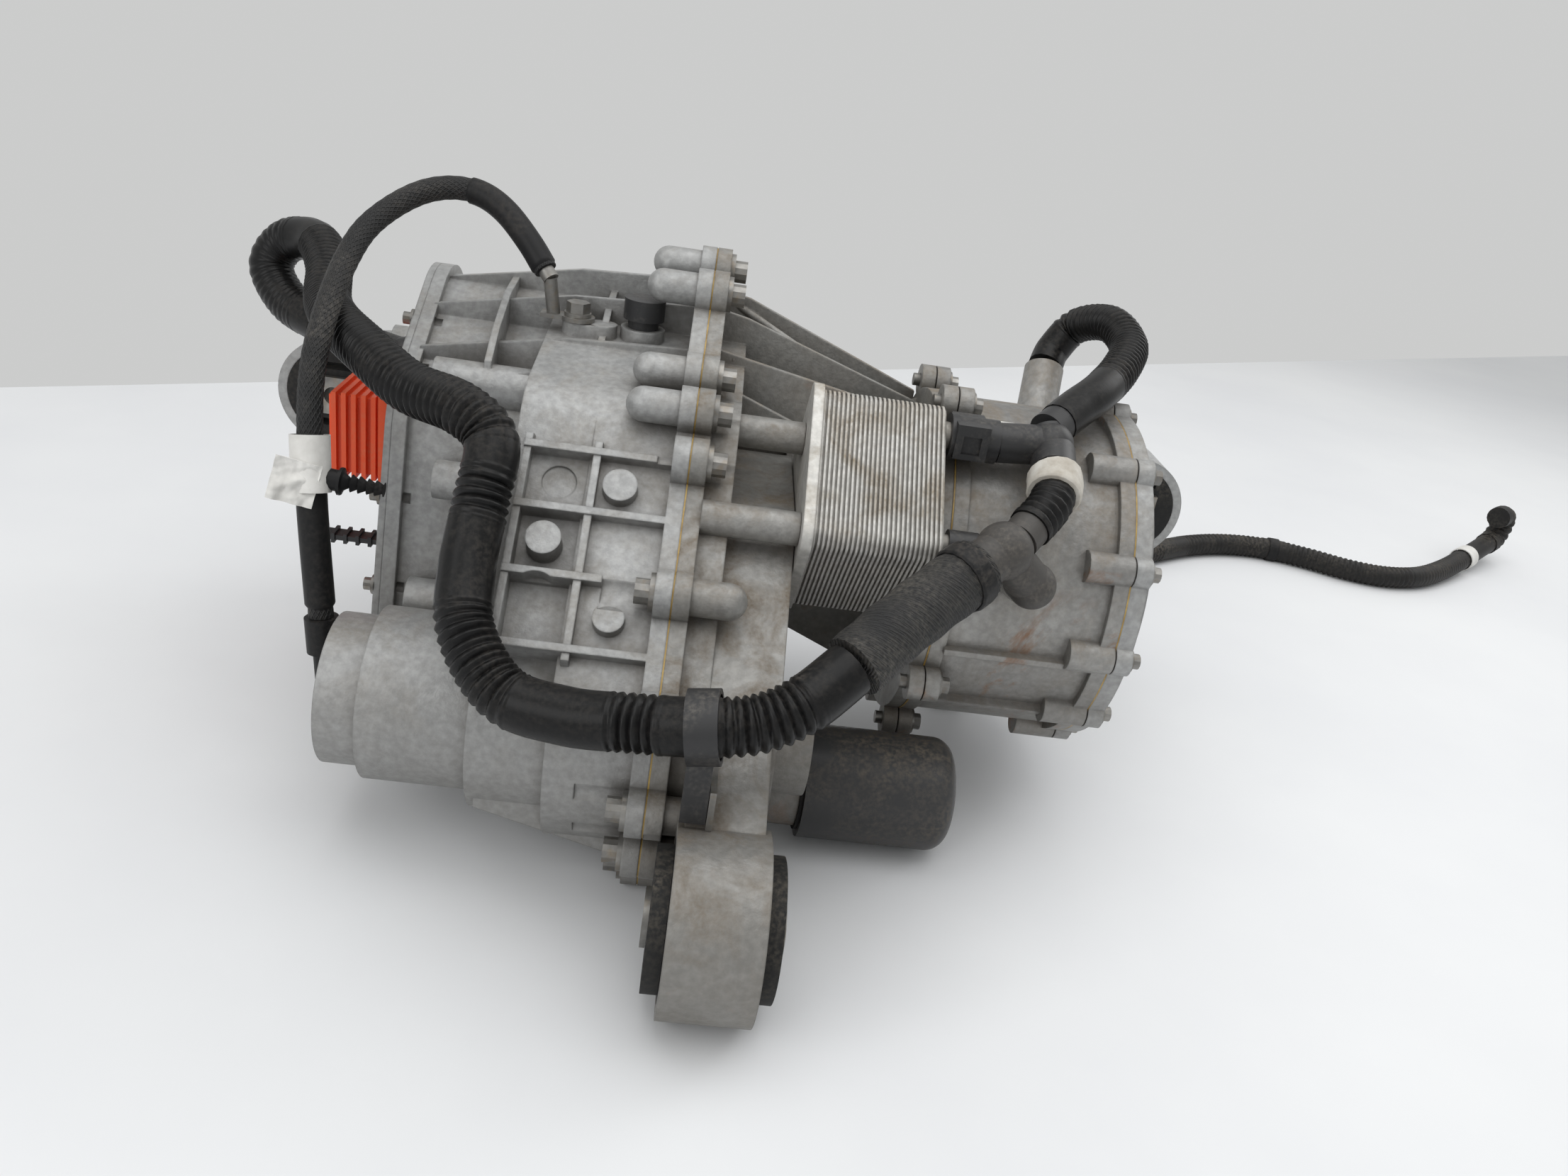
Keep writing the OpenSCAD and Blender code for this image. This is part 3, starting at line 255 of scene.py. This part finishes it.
def ring_uv(piece, rings, length):
    """UV map of a swept tube: round it in U, along it in V in metres."""
    mesh = piece.data
    sides = max(3, round(len(mesh.vertices) / rings))
    layer = mesh.uv_layers.get("UVMap") or mesh.uv_layers.new(name="UVMap")
    for face in mesh.polygons:
        corners = [mesh.loops[i].vertex_index for i in face.loop_indices]
        columns = [v % sides for v in corners]
        wraps = max(columns) - min(columns) > sides / 2
        for i, v in zip(face.loop_indices, corners):
            column = v % sides
            if wraps and column < sides / 2:
                column += sides
            layer.data[i].uv = (column / sides, (v // sides) / (rings - 1) * length)


def hose(name, line, radius_at, sides=24):
    """A round hose along a line of points; radius_at gives its radius at a run from the start."""
    deselect()
    track = bpy.data.curves.new(name, "CURVE")
    track.dimensions = "3D"
    track.bevel_depth = 1.0
    track.bevel_resolution = sides // 4 - 1
    track.use_fill_caps = True
    spline = track.splines.new("POLY")
    spline.points.add(len(line) - 1)
    run = 0.0
    for i, (point, place) in enumerate(zip(spline.points, line)):
        run += (place - line[i - 1]).length if i else 0.0
        point.co = (*place, 1.0)
        point.radius = radius_at(run)
    made = bpy.data.objects.new(name, track)
    scene.collection.objects.link(made)
    made.select_set(True)
    bpy.context.view_layer.objects.active = made
    bpy.ops.object.convert(target="MESH")
    made = bpy.context.object
    bpy.ops.object.shade_smooth_by_angle(angle=math.radians(70))
    ring_uv(made, len(line), line_length(line))
    return made


def woven_sleeve(name, colour, dust, strands, pitch):
    """Woven plastic braid: two sets of strands that cross, dusty in patches."""
    finish, tree, shader = new_finish(name)
    where = add_node(tree, "ShaderNodeUVMap", uv_map="UVMap").outputs["UV"]
    split = add_node(tree, "ShaderNodeSeparateXYZ", {0: where})
    around = combine(tree, split.outputs[0], float(strands))
    along = combine(tree, split.outputs[1], 1 / pitch)
    waves = []
    for operation in ("ADD", "SUBTRACT"):
        lean = combine(tree, combine(tree, around, along, operation), math.tau)
        wave = add_node(tree, "ShaderNodeMath", {0: lean}, operation="SINE")
        waves.append(wave.outputs[0])
    weave = combine(tree, combine(tree, waves[0], waves[1], "MAXIMUM"), 0.5)
    strand = ramp(tree, weave, 0.05, 0.5)
    patch = ramp(tree, grain(tree, 30.0, 5.0), 0.42, 0.7)
    speck = ramp(tree, grain(tree, 420.0, 3.0), 0.35, 0.75)
    base = mix(tree, strand, (0.004, 0.004, 0.004, 1), colour)
    dusty = mix(tree, combine(tree, patch, speck), base, dust)
    tree.links.new(dusty, shader.inputs["Base Color"])
    shader.inputs["Roughness"].default_value = 0.62
    dents(tree, shader, strand, 0.8, 0.0009)
    return finish


def dusty_rubber(name, colour, dust, amount, rough):
    """Black rubber, shrink sleeve or satin paint with a film of dry dust."""
    finish, tree, shader = new_finish(name)
    patch = ramp(tree, grain(tree, 26.0, 6.0, 0.6, 0.4), 0.38, 0.75)
    speck = ramp(tree, grain(tree, 380.0, 4.0), 0.4, 0.7)
    top = ramp(tree, facing_up(tree), 0.0, 1.0, grey(0.35))
    film = combine(tree, combine(tree, patch, speck), combine(tree, top, amount))
    tree.links.new(mix(tree, film, colour, dust), shader.inputs["Base Color"])
    dull = ramp(tree, film, 0.0, 0.6, grey(rough), grey(0.9))
    tree.links.new(dull, shader.inputs["Roughness"])
    shader.inputs["Specular IOR Level"].default_value = 0.22
    dents(tree, shader, grain(tree, 900.0, 2.0), 0.12, 0.0003)
    return finish


def band(name, line, start, end, radius, finish):
    """A collar round a hose line between two runs, with its edges rounded."""
    run = 0.0
    part = []
    for a, b in zip(line, line[1:]):
        if start <= run <= end:
            part.append(a)
        run += (b - a).length
    wide = line_length(part)

    def rounded(run):
        near = max(0.0, 1 - min(run, wide - run) / BAND_EDGE)
        return radius - BAND_DROP * near**2

    made = hose(name, part, rounded, sides=32)
    made.data.materials.append(finish)
    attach(made, "housing")
    return made


def cable_radius(run):
    """Radius of the cable, a little under its size and slightly wavy."""
    return CABLE_D / 2 * (CABLE_FIT + CABLE_WAVE * math.sin(run * CABLE_WAVE_RATE))


cable_line = smooth_line(CABLE_POINTS, CABLE_STEP)
ground_cable = hose("ground_cable_braid", cable_line, cable_radius)
cable_braid = woven_sleeve(
    "cable_braid",
    colour=(0.016, 0.016, 0.0165, 1), dust=(0.1, 0.09, 0.078, 1), strands=16, pitch=0.0045,
)
ground_cable.data.materials.append(cable_braid)
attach(ground_cable, "housing")
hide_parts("ground_cable")

shrink_black = dusty_rubber(
    "shrink_sleeve",
    colour=(0.01, 0.01, 0.0105, 1), dust=(0.13, 0.115, 0.1, 1), amount=0.6, rough=0.45,
)
paint(shrink_black, "cable_end")
lug_shrink = band(
    "lug_shrink", cable_line,
    start=0.001, end=0.068, radius=0.0075, finish=shrink_black,
)
tip_shrink = band(
    "tip_shrink", cable_line,
    start=0.292, end=0.362, radius=0.0079, finish=shrink_black,
)

paper_white, tree, shader = new_finish("blank_paper")
crumple = grain(tree, 60.0, 5.0, 0.6)
paper_colour = ramp(tree, crumple, 0.3, 0.7, (0.62, 0.61, 0.58, 1), (0.8, 0.79, 0.76, 1))
tree.links.new(paper_colour, shader.inputs["Base Color"])
shader.inputs["Roughness"].default_value = 0.75
dents(tree, shader, crumple, 0.5, 0.002)
paint(paper_white, "cable_tag", "free_collar")

FLAG_SIZE = 0.023
FLAG_CELLS = 28
FLAG_TURN = (math.radians(78), math.radians(14), math.radians(12))
FLAG_PLACE = (-0.2, 0.03, 0.1)
FOLD_SIZE = 0.011
FOLD_HEIGHT = 0.009
PAPER_THICK = 0.0004
PAPER_SMOOTH = math.radians(35)
deselect()
bpy.ops.mesh.primitive_grid_add(
    x_subdivisions=FLAG_CELLS, y_subdivisions=FLAG_CELLS, size=FLAG_SIZE
)
paper_flag = bpy.context.object
paper_flag.name = "paper_flag"
paper_flag.rotation_euler = FLAG_TURN
paper_flag.location = FLAG_PLACE
bpy.ops.object.transform_apply(location=True, rotation=True, scale=True)
folds = bpy.data.textures.new("paper_folds", "CLOUDS")
folds.noise_scale = FOLD_SIZE
crease = paper_flag.modifiers.new("crease", "DISPLACE")
crease.texture = folds
crease.strength = FOLD_HEIGHT
sheet = paper_flag.modifiers.new("sheet", "SOLIDIFY")
sheet.thickness = PAPER_THICK
for name in ("crease", "sheet"):
    bpy.ops.object.modifier_apply(modifier=name)
bpy.ops.object.shade_smooth_by_angle(angle=PAPER_SMOOTH)
paper_flag.data.materials.append(paper_white)
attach(paper_flag, "housing")

CLIP_START = Vector((-0.187, 0.043, 0.099))
CLIP_STEP = Vector((0.0004, 0.0, -0.00003))
CLIP_COUNT = 74
STRAP_END = 0.006
STRAP_R = 0.0058
COLLAR_END = 0.008
COLLAR_R = 0.0075
STEM_R = 0.0024
FIN_DEPTH = 0.0034
FIN_PITCH = 0.0042
FIN_TAPER = 0.06


def fir_tree(run):
    """Radius of the push clip: a strap end, a collar, then fins that lean back."""
    if run < STRAP_END:
        return STRAP_R
    if run < COLLAR_END:
        return COLLAR_R
    lean = 1 - ((run - COLLAR_END) % FIN_PITCH) / FIN_PITCH
    return STEM_R + FIN_DEPTH * lean * (1 - run / FIN_TAPER)


clip_line = [CLIP_START + CLIP_STEP * i for i in range(CLIP_COUNT)]
push_clip = hose("push_clip", clip_line, fir_tree, sides=20)
push_clip.data.materials.append(shrink_black)
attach(push_clip, "housing")


# Free hose: the loose coolant hose at the motor end, thin black corrugated plastic with smooth cuffs.
# It drops from its stub to the bench and runs off to the right. A clip ring, a collar and a ribbed elbow
# are on it.
FREE_D = 0.022
FREE_STEP = 0.00075
FREE_POINTS = (
    (284, 292, 6), (294, 314, -9), (306, 340, -26), (321, 370, -42), (340, 404, -55),
    (364, 440, -63), (394, 474, -67), (430, 504, -67), (470, 532, -67), (514, 560, -67),
    (560, 578, -67), (606, 582, -67), (646, 570, -67), (684, 552, -67), (722, 546, -67),
    (764, 558, -67), (806, 586, -66), (850, 622, -62), (896, 660, -55),
)
FREE_RIBS = [(0.02, 0.33, 1.0), (0.365, 0.47, 1.0), (0.49, 0.625, 1.0), (0.63, 0.73, 0.35)]
FREE_PITCH = 0.0052
FREE_DEPTH = 0.0013
CUFF_SHARE = 0.15


def corrugated(run, outer, ribs, pitch, depth):
    """Radius of a corrugated hose: ribs on the stretches listed, each with its share of the depth."""
    for start, end, share in ribs:
        if start <= run <= end:
            edge = share * min(1.0, (run - start) / pitch, (end - run) / pitch)
            wave = 0.5 + 0.5 * math.cos(math.tau * (run - start) / pitch)
            return outer - depth * edge * (1 - wave**0.6)
    return outer - CUFF_SHARE * depth


free_line = smooth_line(FREE_POINTS, FREE_STEP)
free_hose = hose(
    "free_hose_ribbed", free_line,
    lambda run: corrugated(run, FREE_D / 2, FREE_RIBS, FREE_PITCH, FREE_DEPTH),
)
hose_black = dusty_rubber(
    "hose_black",
    colour=(0.016, 0.0155, 0.015, 1), dust=(0.17, 0.15, 0.125, 1), amount=0.9, rough=0.5,
)
free_hose.data.materials.append(hose_black)
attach(free_hose, "housing")
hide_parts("free_hose")
clip_ring = band(
    "hose_clip_ring", free_line,
    start=0.474, end=0.486, radius=0.0122, finish=shrink_black,
)

# The elbow's bend in mm: how far it goes onward from the hose, and how far up.
ELBOW_BEND = ((0, 0), (10, 0), (19, 2), (26, 9), (28, 18), (24, 26), (15, 30), (4, 31))
ELBOW_STEP = 0.0008
ELBOW_R = 0.0122
ELBOW_RIBS = [(0.012, 0.058, 1.0)]
ELBOW_PITCH = 0.0075
ELBOW_DEPTH = 0.0016
hose_end = Vector(FREE_POINTS[-1])
onward = (hose_end - Vector(FREE_POINTS[-2])).normalized()
elbow_points = [hose_end + onward * a + Vector((0, 0, b)) for a, b in ELBOW_BEND]
elbow_line = smooth_line(elbow_points, ELBOW_STEP)
ribbed_elbow = hose(
    "ribbed_elbow", elbow_line,
    lambda run: corrugated(run, ELBOW_R, ELBOW_RIBS, ELBOW_PITCH, ELBOW_DEPTH), sides=32,
)
ribbed_elbow.data.materials.append(hose_black)
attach(ribbed_elbow, "housing")
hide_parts("free_elbow")


# Castings: the left casing, middle casing, motor cover and inverter lid are die-cast aluminium, bolted
# together round the gears. They are grey and dull, with fine grain, brown dust on top of the ribs,
# painted shade darkening the corners and a darker brown-grey towards the bottom. The power module
# inside has the same finish.
CAST_LOW_TONE = (0.15, 0.138, 0.12, 1)
CAST_CORNER_SHADE = (0.085, 0.07, 0.055, 1)
CAST_RUST = (0.23, 0.09, 0.02, 1)
CORNER_REACH = 0.018
EDGE_ROUND = 0.0012


def cast_metal(name, bright, dull, dust, dust_amount, grit, grit_depth, rust=0.0):
    """Cast aluminium left bare: two greys, grain, dust that lies on top and painted shade in the
    corners.
    """
    finish, tree, shader = new_finish(name)
    cloud = ramp(tree, grain(tree, 11.0, 6.0, 0.6), 0.32, 0.7)
    fleck = ramp(tree, grain(tree, 240.0, 3.0), 0.35, 0.68, grey(0.82), grey(1.08))
    metal = mix(tree, 1.0, mix(tree, cloud, dull, bright), fleck, "MULTIPLY")
    up = facing_up(tree)
    top = ramp(tree, up, -0.1, 0.9, grey(0.25))
    drift = ramp(tree, grain(tree, 34.0, 7.0, 0.65, 0.6), 0.44, 0.66)
    powder = ramp(tree, grain(tree, 520.0, 2.0), 0.3, 0.7, grey(0.5))
    film = combine(tree, combine(tree, drift, powder), combine(tree, top, dust_amount))
    # Painted shade: ambient occlusion darkens the corners and hollows towards a dark brown.
    shut = add_node(tree, "ShaderNodeAmbientOcclusion", {"Distance": CORNER_REACH}, samples=6)
    corner_shade = combine(tree, ramp(tree, shut.outputs["AO"], 0.25, 0.85, WHITE, BLACK), 0.55)
    # Darker brown-grey towards the bottom: mixed in up to half below z = -0.07 m, fading out by z = 0.07
    # m.
    where = add_node(tree, "ShaderNodeTexCoord").outputs["Object"]
    place = add_node(tree, "ShaderNodeSeparateXYZ", {0: where})
    lifted = combine(tree, place.outputs[2], 0.1, "ADD")
    below = combine(tree, ramp(tree, lifted, 0.03, 0.17, WHITE, BLACK), 0.5)
    colour = mix(tree, below, mix(tree, film, metal, dust), CAST_LOW_TONE)
    colour = mix(tree, corner_shade, colour, CAST_CORNER_SHADE)
    if rust:
        patch = ramp(tree, grain(tree, 17.0, 8.0, 0.7, 0.8), 0.58, 0.7)
        low = ramp(tree, up, -0.9, 0.3, WHITE, BLACK)
        stain = combine(tree, combine(tree, patch, low), rust)
        colour = mix(tree, stain, colour, CAST_RUST)
    tree.links.new(colour, shader.inputs["Base Color"])
    matt = ramp(tree, film, 0.0, 0.7, grey(0.48), grey(0.85))
    tree.links.new(matt, shader.inputs["Roughness"])
    shader.inputs["Metallic"].default_value = 0.45
    edge = add_node(tree, "ShaderNodeBevel", {"Radius": EDGE_ROUND}, samples=3)
    skin = dents(
        tree, shader, grain(tree, grit, 4.0, 0.6), 0.35, grit_depth, edge.outputs["Normal"]
    )
    dents(tree, shader, grain(tree, 45.0, 3.0), 0.18, 0.0012, skin)
    return finish


cast_grey = cast_metal(
    "cast_grey",
    bright=(0.42, 0.423, 0.42, 1), dull=(0.345, 0.348, 0.345, 1), dust=(0.26, 0.225, 0.175, 1),
    dust_amount=0.45, grit=700.0, grit_depth=0.0006,
)
paint(cast_grey, "left_casing", "motor_cover", "inverter_cover", "power_module")
cast_dirty = cast_metal(
    "cast_dirty",
    bright=(0.36, 0.355, 0.34, 1), dull=(0.25, 0.245, 0.23, 1), dust=(0.22, 0.17, 0.115, 1),
    dust_amount=0.85, grit=600.0, grit_depth=0.0007, rust=0.35,
)
paint(cast_dirty, "mid_casing")


# Motor barrel: a thicker sand casting, coarse and darker, with brown stains low on its side. A blank
# white sticker lies on top of it, a thin film drawn onto the barrel.
barrel_cast = cast_metal(
    "barrel_cast",
    bright=(0.36, 0.355, 0.34, 1), dull=(0.24, 0.235, 0.225, 1), dust=(0.27, 0.21, 0.14, 1),
    dust_amount=0.7, grit=330.0, grit_depth=0.0012, rust=0.8,
)
paint(barrel_cast, "motor_housing")

BARREL_Y = 0.132
BARREL_Z = 0.066
BARREL_R = 0.1
STICKER_X = 0.172
STICKER_SIZE = (0.024, 0.03)
STICKER_ANGLE = math.radians(112)
STICKER_TILT = math.radians(22)
STICKER_GAP = 0.0003
STICKER_THICK = 0.0002
deselect()
bpy.ops.mesh.primitive_grid_add(x_subdivisions=20, y_subdivisions=24, size=1.0)
sticker = bpy.context.object
sticker.name = "blank_sticker"
sticker.scale = (*STICKER_SIZE, 1)
sticker.rotation_euler = (STICKER_TILT, 0, 0)
sticker.location = (
    STICKER_X,
    BARREL_Y + BARREL_R * math.cos(STICKER_ANGLE),
    BARREL_Z + BARREL_R * math.sin(STICKER_ANGLE),
)
bpy.ops.object.transform_apply(location=True, rotation=True, scale=True)
cling = sticker.modifiers.new("cling", "SHRINKWRAP")
cling.target = solids["motor_housing"]
cling.offset = STICKER_GAP
film = sticker.modifiers.new("film", "SOLIDIFY")
film.thickness = STICKER_THICK
for name in ("cling", "film"):
    bpy.ops.object.modifier_apply(modifier=name)
bpy.ops.object.shade_smooth_by_angle(angle=PAPER_SMOOTH)
sticker.data.materials.append(paper_white)
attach(sticker, "housing")


# Sealant: a gold-brown silicone line that squeezed out of the joints when the casings were bolted up.
# It set in small uneven blobs, so its colour and its surface vary.
sealant, tree, shader = new_finish("sealant_gold")
blobs = grain(tree, 95.0, 4.0, 0.6)
sealant_colour = ramp(tree, blobs, 0.3, 0.7, (0.2, 0.12, 0.03, 1), (0.5, 0.34, 0.1, 1))
tree.links.new(sealant_colour, shader.inputs["Base Color"])
shader.inputs["Roughness"].default_value = 0.42
dents(tree, shader, blobs, 0.6, 0.0015)
paint(sealant, "sealant_lines")


# Bolts and steel fittings: zinc-plated steel gone dull, with dust in patches. The bolts hold the casings
# together, and the sleeve and cores sit in the bushes.
STEEL_DUST = (0.25, 0.2, 0.14, 1)


def plated_steel(name, bright, dull, dust_amount, rough):
    """Plated or ground steel with a fine grain, dull patches and some dust."""
    finish, tree, shader = new_finish(name)
    patch = ramp(tree, grain(tree, 70.0, 6.0), 0.35, 0.68)
    metal = mix(tree, patch, dull, bright)
    dusty = combine(tree, ramp(tree, grain(tree, 160.0, 5.0, 0.6), 0.5, 0.72), dust_amount)
    tree.links.new(mix(tree, dusty, metal, STEEL_DUST), shader.inputs["Base Color"])
    matt = ramp(tree, patch, 0.0, 1.0, grey(rough + 0.18), grey(rough))
    tree.links.new(matt, shader.inputs["Roughness"])
    shader.inputs["Metallic"].default_value = 0.85
    dents(tree, shader, grain(tree, 1100.0, 2.0), 0.15, 0.0002)
    return finish


bolt_zinc = plated_steel(
    "bolt_zinc",
    bright=(0.34, 0.33, 0.31, 1), dull=(0.19, 0.185, 0.175, 1), dust_amount=0.6, rough=0.34,
)
paint(
    bolt_zinc,
    "joint_bolts_right", "joint_bolts_left", "cover_bolts", "ground_bolt", "ground_lug",
    "clip_bracket", "front_bush_sleeve", "rear_bush_cores",
)


# Gear train: ground and oiled steel for the shafts, gears and bearings, and darker stacked sheet for the
# motor's cores, with enamelled copper in the slots.
gear_steel = plated_steel(
    "gear_steel",
    bright=(0.56, 0.57, 0.58, 1), dull=(0.42, 0.43, 0.44, 1), dust_amount=0.0, rough=0.2,
)
paint(
    gear_steel,
    "rotor_shaft", "input_pinion", "counter_shaft", "counter_gear", "counter_pinion", "ring_gear",
    "diff_case", "cross_pin", "side_gear_left", "side_gear_right", "spider_top", "spider_bottom",
    "bearings",
)

sheet_stack, tree, shader = new_finish("sheet_stack")
where = add_node(tree, "ShaderNodeTexCoord").outputs["Object"]
sheets = add_node(
    tree, "ShaderNodeTexWave",
    {"Vector": where, "Scale": 450.0, "Distortion": 0.2}, bands_direction="X",
)
sheet_colour = ramp(
    tree, sheets.outputs["Fac"], 0.1, 0.6, (0.12, 0.12, 0.125, 1), (0.3, 0.3, 0.31, 1)
)
tree.links.new(sheet_colour, shader.inputs["Base Color"])
shader.inputs["Metallic"].default_value = 0.7
shader.inputs["Roughness"].default_value = 0.45
paint(sheet_stack, "stator_core", "rotor_core")

copper, tree, shader = new_finish("enamelled_copper")
copper_colour = ramp(
    tree, grain(tree, 120.0, 4.0), 0.3, 0.7, (0.42, 0.16, 0.06, 1), (0.68, 0.32, 0.14, 1)
)
tree.links.new(copper_colour, shader.inputs["Base Color"])
shader.inputs["Metallic"].default_value = 0.8
shader.inputs["Roughness"].default_value = 0.3
paint(copper, "stator_windings")


# Oil cooler: a stack of pressed aluminium plates brazed together, with its base and ports. It is bright,
# with brown dust on top and painted shade darkening the gaps between the plates.
cooler_bright = cast_metal(
    "cooler_bright",
    bright=(0.68, 0.67, 0.64, 1), dull=(0.5, 0.49, 0.46, 1), dust=(0.33, 0.26, 0.17, 1),
    dust_amount=0.9, grit=900.0, grit_depth=0.0003,
)
paint(cooler_bright, "cooler_core", "cooler_base", "cooler_ports")


# Held hoses: the main coolant hose, its branch and the upper loop, black plastic, corrugated at the
# bends and smooth between. Fittings hold them at both ends, and a clip holds the main one on its way.
HELD_STEP = 0.0006
HELD_PITCH = 0.0048
HELD_DEPTH = 0.002
MAIN_D = 0.028
MAIN_POINTS = (
    (-246, 224, 130), (-276, 246, 136), (-292, 260, 154), (-282, 262, 172), (-258, 246, 178),
    (-240, 214, 170), (-228, 174, 160), (-208, 128, 160), (-178, 84, 158), (-148, 52, 152),
    (-116, 28, 152), (-98, 14, 142), (-98, -6, 118), (-99, -28, 92), (-94, -50, 70),
    (-72, -72, 52), (-42, -82, 50), (-12, -88, 54), (22, -94, 60), (46, -92, 64),
    (66, -84, 72), (86, -68, 84),
)
MAIN_RIBS = [
    (0.02, 0.1, 0.3), (0.125, 0.415, 1.0), (0.428, 0.455, 1.0), (0.497, 0.555, 1.0),
    (0.6, 0.626, 1.0), (0.65, 0.696, 1.0),
]
UPPER_D = 0.024
UPPER_POINTS = (
    (200, 84, 172), (212, 97, 178), (228, 114, 185), (248, 146, 193), (262, 182, 200),
    (258, 216, 206), (246, 246, 196), (234, 246, 178), (228.5, 236, 168.5),
)
UPPER_RIBS = [(0.055, 0.2, 1.0)]
BRANCH_POINTS = ((194, 50, 154), (193, 38, 149), (188, 25, 143), (177, 12, 135))
BRANCH_RIBS = [(0.02, 0.046, 1.0)]
held_hoses = {
    "main_hose": (MAIN_POINTS, MAIN_D, MAIN_RIBS),
    "upper_hose": (UPPER_POINTS, UPPER_D, UPPER_RIBS),
    "branch_hose": (BRANCH_POINTS, UPPER_D, BRANCH_RIBS),
}
hose_gloss = dusty_rubber(
    "hose_gloss",
    colour=(0.006, 0.006, 0.0062, 1), dust=(0.12, 0.105, 0.09, 1), amount=0.45, rough=0.34,
)
for name, (points, thick, ribs) in held_hoses.items():
    piece = hose(
        name + "_ribbed", smooth_line(points, HELD_STEP),
        lambda run: corrugated(run, thick / 2, ribs, HELD_PITCH, HELD_DEPTH), sides=28,
    )
    piece.data.materials.append(hose_gloss)
    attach(piece, "housing")
    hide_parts(name)


# Braided sleeve: a woven wrap over the end of the main hose, from the cuff to the junction, with a black
# clamp at its end, and a dusty white collar on the branch hose.
SLEEVE_POINTS = ((87.6, -66.7, 85), (105, -50, 96), (128, -30, 109), (148, -13, 119))
SLEEVE_STEP = 0.002
SLEEVE_R = 0.0162
SLEEVE_WAVE = 0.0003
SLEEVE_WAVE_RATE = 300
CLAMP_WIDTH = 0.012
CLAMP_INSET = 0.002
COLLAR_STEP = 0.0008
sleeve_line = smooth_line(SLEEVE_POINTS, SLEEVE_STEP)
sleeve = hose(
    "woven_wrap", sleeve_line,
    lambda run: SLEEVE_R + SLEEVE_WAVE * math.sin(run * SLEEVE_WAVE_RATE), sides=32,
)
wrap_weave = woven_sleeve(
    "wrap_weave",
    colour=(0.02, 0.02, 0.0205, 1), dust=(0.11, 0.1, 0.085, 1), strands=22, pitch=0.0075,
)
sleeve.data.materials.append(wrap_weave)
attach(sleeve, "housing")
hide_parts("braided_sleeve")

clamp_end = line_length(sleeve_line) - CLAMP_INSET
band(
    "sleeve_collar", smooth_line(SLEEVE_POINTS, COLLAR_STEP),
    start=clamp_end - CLAMP_WIDTH, end=clamp_end, radius=0.0178,
    finish=shrink_black,
)
collar_white, tree, shader = new_finish("collar_white")
stain = combine(tree, ramp(tree, grain(tree, 70.0, 6.0, 0.6), 0.35, 0.7), 0.75)
collar_colour = mix(tree, stain, (0.6, 0.58, 0.53, 1), (0.27, 0.22, 0.16, 1))
tree.links.new(collar_colour, shader.inputs["Base Color"])
shader.inputs["Roughness"].default_value = 0.7
dents(tree, shader, grain(tree, 150.0, 4.0), 0.3, 0.0008)
band(
    "branch_collar", smooth_line(BRANCH_POINTS, COLLAR_STEP),
    start=0.002, end=0.019, radius=0.0148, finish=collar_white,
)


# Plastic fittings: quick connector, tee, plugs and clips are black moulded nylon, pushed or clipped on.
# The junction is a dusty brown-grey and the high-voltage connector orange. The inverter's board inside
# is green.
def moulded(name, colour, pale, rough):
    """Moulded plastic with a fine grain and rubbed, dusty patches."""
    finish, tree, shader = new_finish(name)
    rub = ramp(tree, grain(tree, 48.0, 6.0, 0.6), 0.45, 0.78)
    speck = ramp(tree, grain(tree, 450.0, 3.0), 0.4, 0.75)
    rubbed = mix(tree, combine(tree, rub, speck), colour, pale)
    tree.links.new(rubbed, shader.inputs["Base Color"])
    matt = ramp(tree, rub, 0.0, 1.0, grey(rough), grey(rough + 0.25))
    tree.links.new(matt, shader.inputs["Roughness"])
    dents(tree, shader, grain(tree, 800.0, 2.0), 0.1, 0.0003)
    return finish


nylon_black = moulded(
    "nylon_black", colour=(0.02, 0.02, 0.021, 1), pale=(0.16, 0.145, 0.125, 1), rough=0.42
)
paint(
    nylon_black,
    "quick_connector", "tee_fitting", "lower_plug", "breather_cap", "cable_standoff",
    "inlet_fitting", "hose_clip",
)
nylon_brown = moulded(
    "nylon_brown", colour=(0.05, 0.046, 0.042, 1), pale=(0.17, 0.15, 0.125, 1), rough=0.5
)
paint(nylon_brown, "junction_fitting")
connector_orange = moulded(
    "connector_orange", colour=(0.78, 0.085, 0.018, 1), pale=(0.62, 0.17, 0.08, 1), rough=0.4
)
paint(connector_orange, "hv_connector")
board_green = moulded(
    "board_green", colour=(0.02, 0.14, 0.05, 1), pale=(0.05, 0.2, 0.09, 1), rough=0.35
)
paint(board_green, "inverter_board")


# Oil filter: a drawn steel can, screwed on under the cooler. It has plain dark satin paint with dust
# on top.
filter_dark = dusty_rubber(
    "filter_dark",
    colour=(0.05, 0.05, 0.051, 1), dust=(0.24, 0.2, 0.15, 1), amount=1.0, rough=0.34,
)
paint(filter_dark, "oil_filter")


# Rubber: bushes pressed into the three mounts, the ring under the filter and the output seals, black
# and matt with dry dust.
bush_rubber = dusty_rubber(
    "bush_rubber",
    colour=(0.02, 0.02, 0.02, 1), dust=(0.2, 0.175, 0.14, 1), amount=0.9, rough=0.65,
)
paint(bush_rubber, "filter_seal", "front_bush_rubber", "rear_bush_rubbers", "output_seals")
